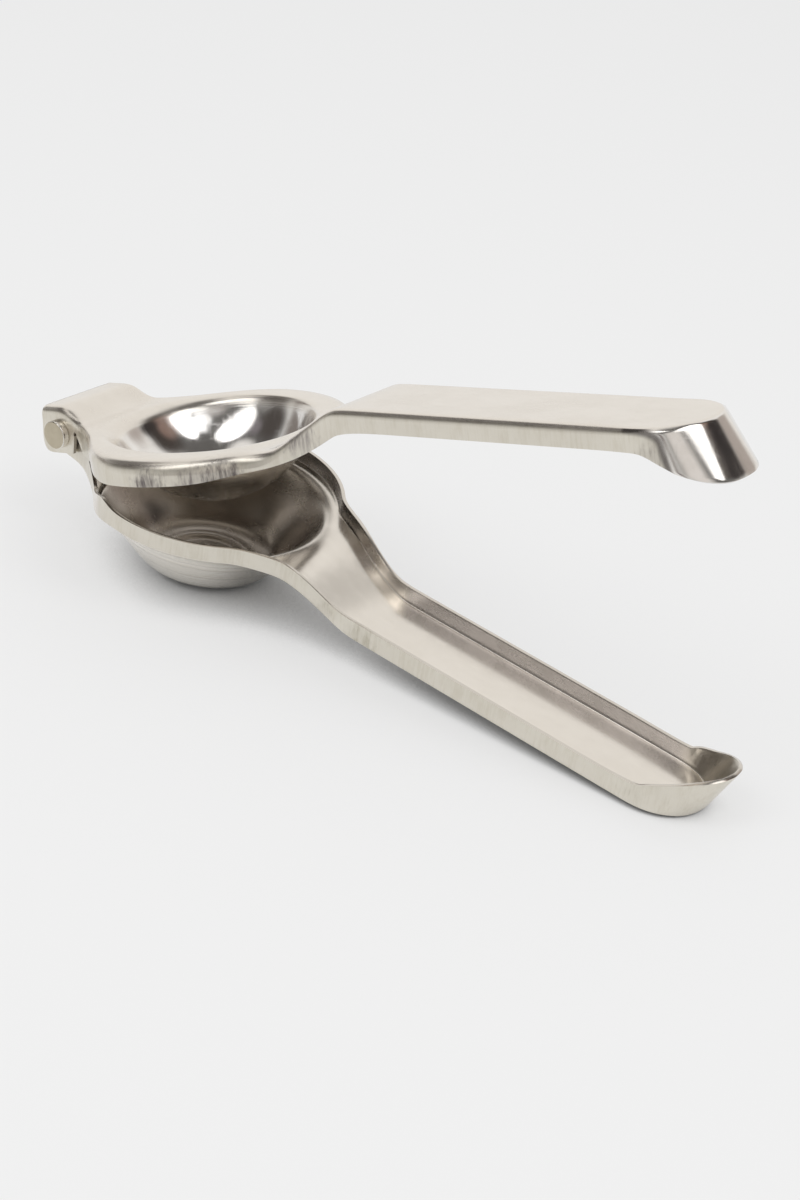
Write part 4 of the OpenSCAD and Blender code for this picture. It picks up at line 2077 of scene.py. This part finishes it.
@dataclass
class Studio:
    """The pale floor, the soft lamps, the room that the metal mirrors and the camera.

    Attributes:
        eye: The camera's place, in metres.
        aim: Its turn, in radians.
        lens, film: Its lens and the height of its film, in millimetres.
        backdrop: The colour that the floor shows to the camera and to the metal.
        paper: The colour of the floor in other light.
        floor_size: The floor's width, in metres.
        contact: How far from the part the floor starts to darken, in metres.
        contact_rise: The openness at which it is darkest and at which it is plain.
        seen, mirrored: The backdrop's share for the camera and for the metal.
        fill: The level of the room's even light.
        low_room, high_room: The colours that the metal mirrors low and high in the room.
        room_rise: The heights between which one turns into the other.
        target: What the lamps look at, in metres.
        lamps: The lamps.
        room: The patches of the room that the metal mirrors.
    """

    eye: tuple[float, float, float] = (0.27846847, -0.37061054, 0.26578771)
    aim: tuple[float, float, float] = (1.06879317, -0.09865303, 0.68578631)
    lens: float = 68.1365
    film: float = 36.0
    backdrop: Tone = (0.855, 0.855, 0.855)
    paper: Tone = (0.88, 0.88, 0.88)
    floor_size: float = 6.0
    contact: float = 0.03
    contact_rise: tuple[float, float] = (0.1, 0.5)
    seen: float = 0.6
    mirrored: float = 0.85
    fill: float = 0.80
    low_room: Tone = (0.72, 0.715, 0.70)
    high_room: Tone = (0.13, 0.125, 0.12)
    room_rise: tuple[float, float] = (0.18, 0.55)
    target: tuple[float, float, float] = (0.0, 0.0, 0.03)
    lamps: tuple[Softbox, ...] = (
        Softbox("softbox_right", 6.0, 60.0, 0.42, 0.84, 1.7),
        Softbox("softbox_left", 246.0, 54.0, 0.40, 0.90, 1.7))
    room: tuple[Zone, ...] = (
        Zone(115.0, 12.0, 54.0, 10.0, (0.90, 0.885, 0.86)),
        Zone(72.0, 18.0, 13.0, 7.0, (0.47, 0.42, 0.39)),
        Zone(186.0, 2.0, 14.0, 6.0, (0.24, 0.215, 0.20)),
        Zone(166.0, 50.0, 8.0, 4.0, (0.88, 0.86, 0.83)),
        Zone(199.0, 58.0, 11.0, 5.0, (0.88, 0.86, 0.83)),
        Zone(180.0, 36.0, 10.0, 6.0, (0.13, 0.12, 0.115)),
        Zone(217.0, 24.0, 15.0, 7.0, (0.08, 0.07, 0.065)),
        Zone(232.0, 42.0, 7.0, 4.0, (0.20, 0.18, 0.19)),
        Zone(312.0, 34.0, 21.0, 8.0, (0.78, 0.75, 0.73)),
        Zone(276.0, 2.0, 9.0, 5.0, (0.22, 0.19, 0.19)),
        Zone(305.0, -2.0, 10.0, 6.0, (0.30, 0.27, 0.27)),
        Zone(51.0, 36.0, 14.0, 4.0, (0.035, 0.03, 0.03)),
        Zone(60.0, 54.0, 13.0, 6.0, (0.06, 0.05, 0.045)),
        Zone(37.0, 54.0, 9.0, 4.0, (0.27, 0.19, 0.16)),
        Zone(323.0, 65.0, 10.0, 3.0, (1.4, 1.4, 1.4)),
        Zone(281.0, 68.0, 9.0, 4.0, (0.17, 0.165, 0.16)))

    def build(self) -> None:
        """Set up the studio."""
        self.lay_floor()
        self.light_room()
        for lamp in self.lamps:
            self.hang(lamp)
        self.place_camera()
        bpy.context.scene.view_settings.view_transform = "Standard"

    def lay_floor(self) -> None:
        """Lay the floor, which keeps the part's shadow and stays pale for the camera."""
        bpy.ops.object.select_all(action="DESELECT")
        bpy.ops.mesh.primitive_plane_add(size=self.floor_size)
        floor = bpy.context.object
        floor.name = "floor"
        material, board = start_material("floor_paper")
        nodes = material.node_tree.nodes
        nodes.remove(nodes["Principled BSDF"])
        paper = board.node("ShaderNodeBsdfDiffuse", Color=(*self.paper, 1.0)).outputs[0]
        near = board.node("ShaderNodeAmbientOcclusion", {"samples": 8}, Distance=self.contact)
        level = board.rise(near.outputs["AO"], *self.contact_rise)
        glow = board.node("ShaderNodeEmission", Color=(*self.backdrop, 1.0), Strength=level)
        path = board.node("ShaderNodeLightPath").outputs
        share = board.plus(board.times(path["Is Camera Ray"], self.seen),
                           board.times(path["Is Glossy Ray"], self.mirrored))
        mix = board.node("ShaderNodeMixShader")
        for socket, value in zip(mix.inputs, (share, paper, glow.outputs[0])):
            board.feed(socket, value)
        board.feed(nodes["Material Output"].inputs["Surface"], mix.outputs[0])
        floor.data.materials.append(material)

    def light_room(self) -> None:
        """Fill the room with even light, and give the metal the darker room that it mirrors."""
        world = bpy.data.worlds.new("room")
        bpy.context.scene.world = world
        world.use_nodes = True
        world.cycles.sampling_method = "NONE"
        board = Board(world.node_tree)
        way = board.node("ShaderNodeTexCoord").outputs["Generated"]
        height = board.node("ShaderNodeSeparateXYZ", Vector=way).outputs["Z"]
        mirrored = board.tint(board.rise(height, *self.room_rise), self.low_room, self.high_room)
        for zone in self.room:
            aim = board.node("ShaderNodeVectorMath", {"operation": "DOT_PRODUCT"}, Vector=way)
            aim.inputs[1].default_value = towards(zone.azimuth, zone.elevation)
            edges = (zone.reach + zone.blur, max(0.0, zone.reach - zone.blur))
            share = board.rise(aim.outputs["Value"], *(math.cos(math.radians(e)) for e in edges))
            mirrored = board.tint(share, mirrored, zone.tone)
        glossy = board.node("ShaderNodeLightPath").outputs["Is Glossy Ray"]
        even = tuple(self.fill * value / self.backdrop[0] for value in self.backdrop)
        board.feed(world.node_tree.nodes["Background"].inputs["Color"],
                   board.tint(glossy, even, mirrored))

    def hang(self, lamp: Softbox) -> None:
        """Hang one lamp and turn it to the part.

        Args:
            lamp: The lamp.
        """
        light = bpy.data.lights.new(lamp.name, "AREA")
        light.shape = "ELLIPSE"
        light.size, light.size_y = lamp.width, lamp.height
        area = math.pi / 4 * lamp.width * lamp.height
        light.energy = lamp.level * math.pi * area
        body = bpy.data.objects.new(lamp.name, light)
        bpy.context.scene.collection.objects.link(body)
        way = towards(lamp.azimuth, lamp.elevation)
        body.location = Vector(self.target) + way * lamp.distance
        body.rotation_euler = way.to_track_quat("Z", "Y").to_euler()

    def place_camera(self) -> None:
        """Place the camera."""
        camera = bpy.data.cameras.new("camera")
        camera.sensor_fit = "VERTICAL"
        camera.sensor_height = self.film
        camera.lens = self.lens
        body = bpy.data.objects.new("camera", camera)
        bpy.context.scene.collection.objects.link(body)
        body.location = self.eye
        body.rotation_euler = self.aim
        bpy.context.scene.camera = body


UPPER_LIFT = math.radians(16.95448)
LOWER_LIFT = math.radians(-4.44552)
UPPER_STEEL = SheetSteel("upper_steel", scuffs=(
    Scuff((50.4, -32.1, -4.9), 5.6, 0.92, (0.15, 0.13, 0.135)),
    Scuff((60.5, -27.2, -4.6), 5.2, 0.85, (0.19, 0.165, 0.175)),
    Scuff((65.4, -23.6, -3.9), 5.6, 0.92, (0.13, 0.11, 0.115)),
    Scuff((82.7, -14.3, 3.4), 5.0, 0.8, (0.27, 0.24, 0.245)),
    Scuff((175.5, -12.1, 4.0), 4.4, 0.7, (0.30, 0.27, 0.25))))
LOWER_STEEL = SheetSteel("lower_steel", satin=0.19, scuffs=(
    Scuff((49.5, -30.4, -4.4), 2.6, 0.6, (0.40, 0.37, 0.28)),
    Scuff((62.0, -25.5, -4.3), 2.6, 0.5, (0.42, 0.39, 0.30)),
    Scuff((99.0, -11.9, -9.0), 5.5, 0.6, (0.36, 0.33, 0.24)),
    Scuff((88.0, -13.0, -6.4), 3.5, 0.5, (0.30, 0.27, 0.20)),
    Scuff((176.0, -11.3, -7.0), 4.0, 0.4, (0.42, 0.39, 0.30))))
RIVET_STEEL = RivetSteel("rivet_steel")


def main() -> None:
    """Build the squeezer in the frame, dress it and set up the studio."""
    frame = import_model()
    pin = Vector(frame["joints"][0]["pos_m"])
    effects = Effects()
    upper = PressLever("press_lever_sheet", "upper", "upper_steel", Seat(pin, UPPER_LIFT),
                       head_r=33.5, neck_half=14.8, handle_half=12.5)
    lower = CupLever("cup_lever_sheet", "lower", "lower_steel", Seat(pin, LOWER_LIFT),
                     head_r=31.5, neck_half=12.9, handle_half=11.7)
    rivet = Rivet("rivet", "upper", "rivet_steel", Seat(pin, UPPER_LIFT))
    for part, node, finish in ((upper, "press_lever", UPPER_STEEL),
                               (lower, "cup_lever", LOWER_STEEL),
                               (rivet, "hinge_pin", RIVET_STEEL)):
        piece = part.build()
        piece.data.materials.clear()
        piece.data.materials.append(finish.make(effects, part.seat))
        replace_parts(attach(piece, part.body), node)
        LOG.info("%s: %d faces, %s mm", piece.name, len(piece.data.polygons),
                 [round(side / MM, 1) for side in piece.dimensions])
    Studio().build()


if __name__ == "__main__":
    logging.basicConfig(level=logging.INFO, format="%(message)s")
    main()
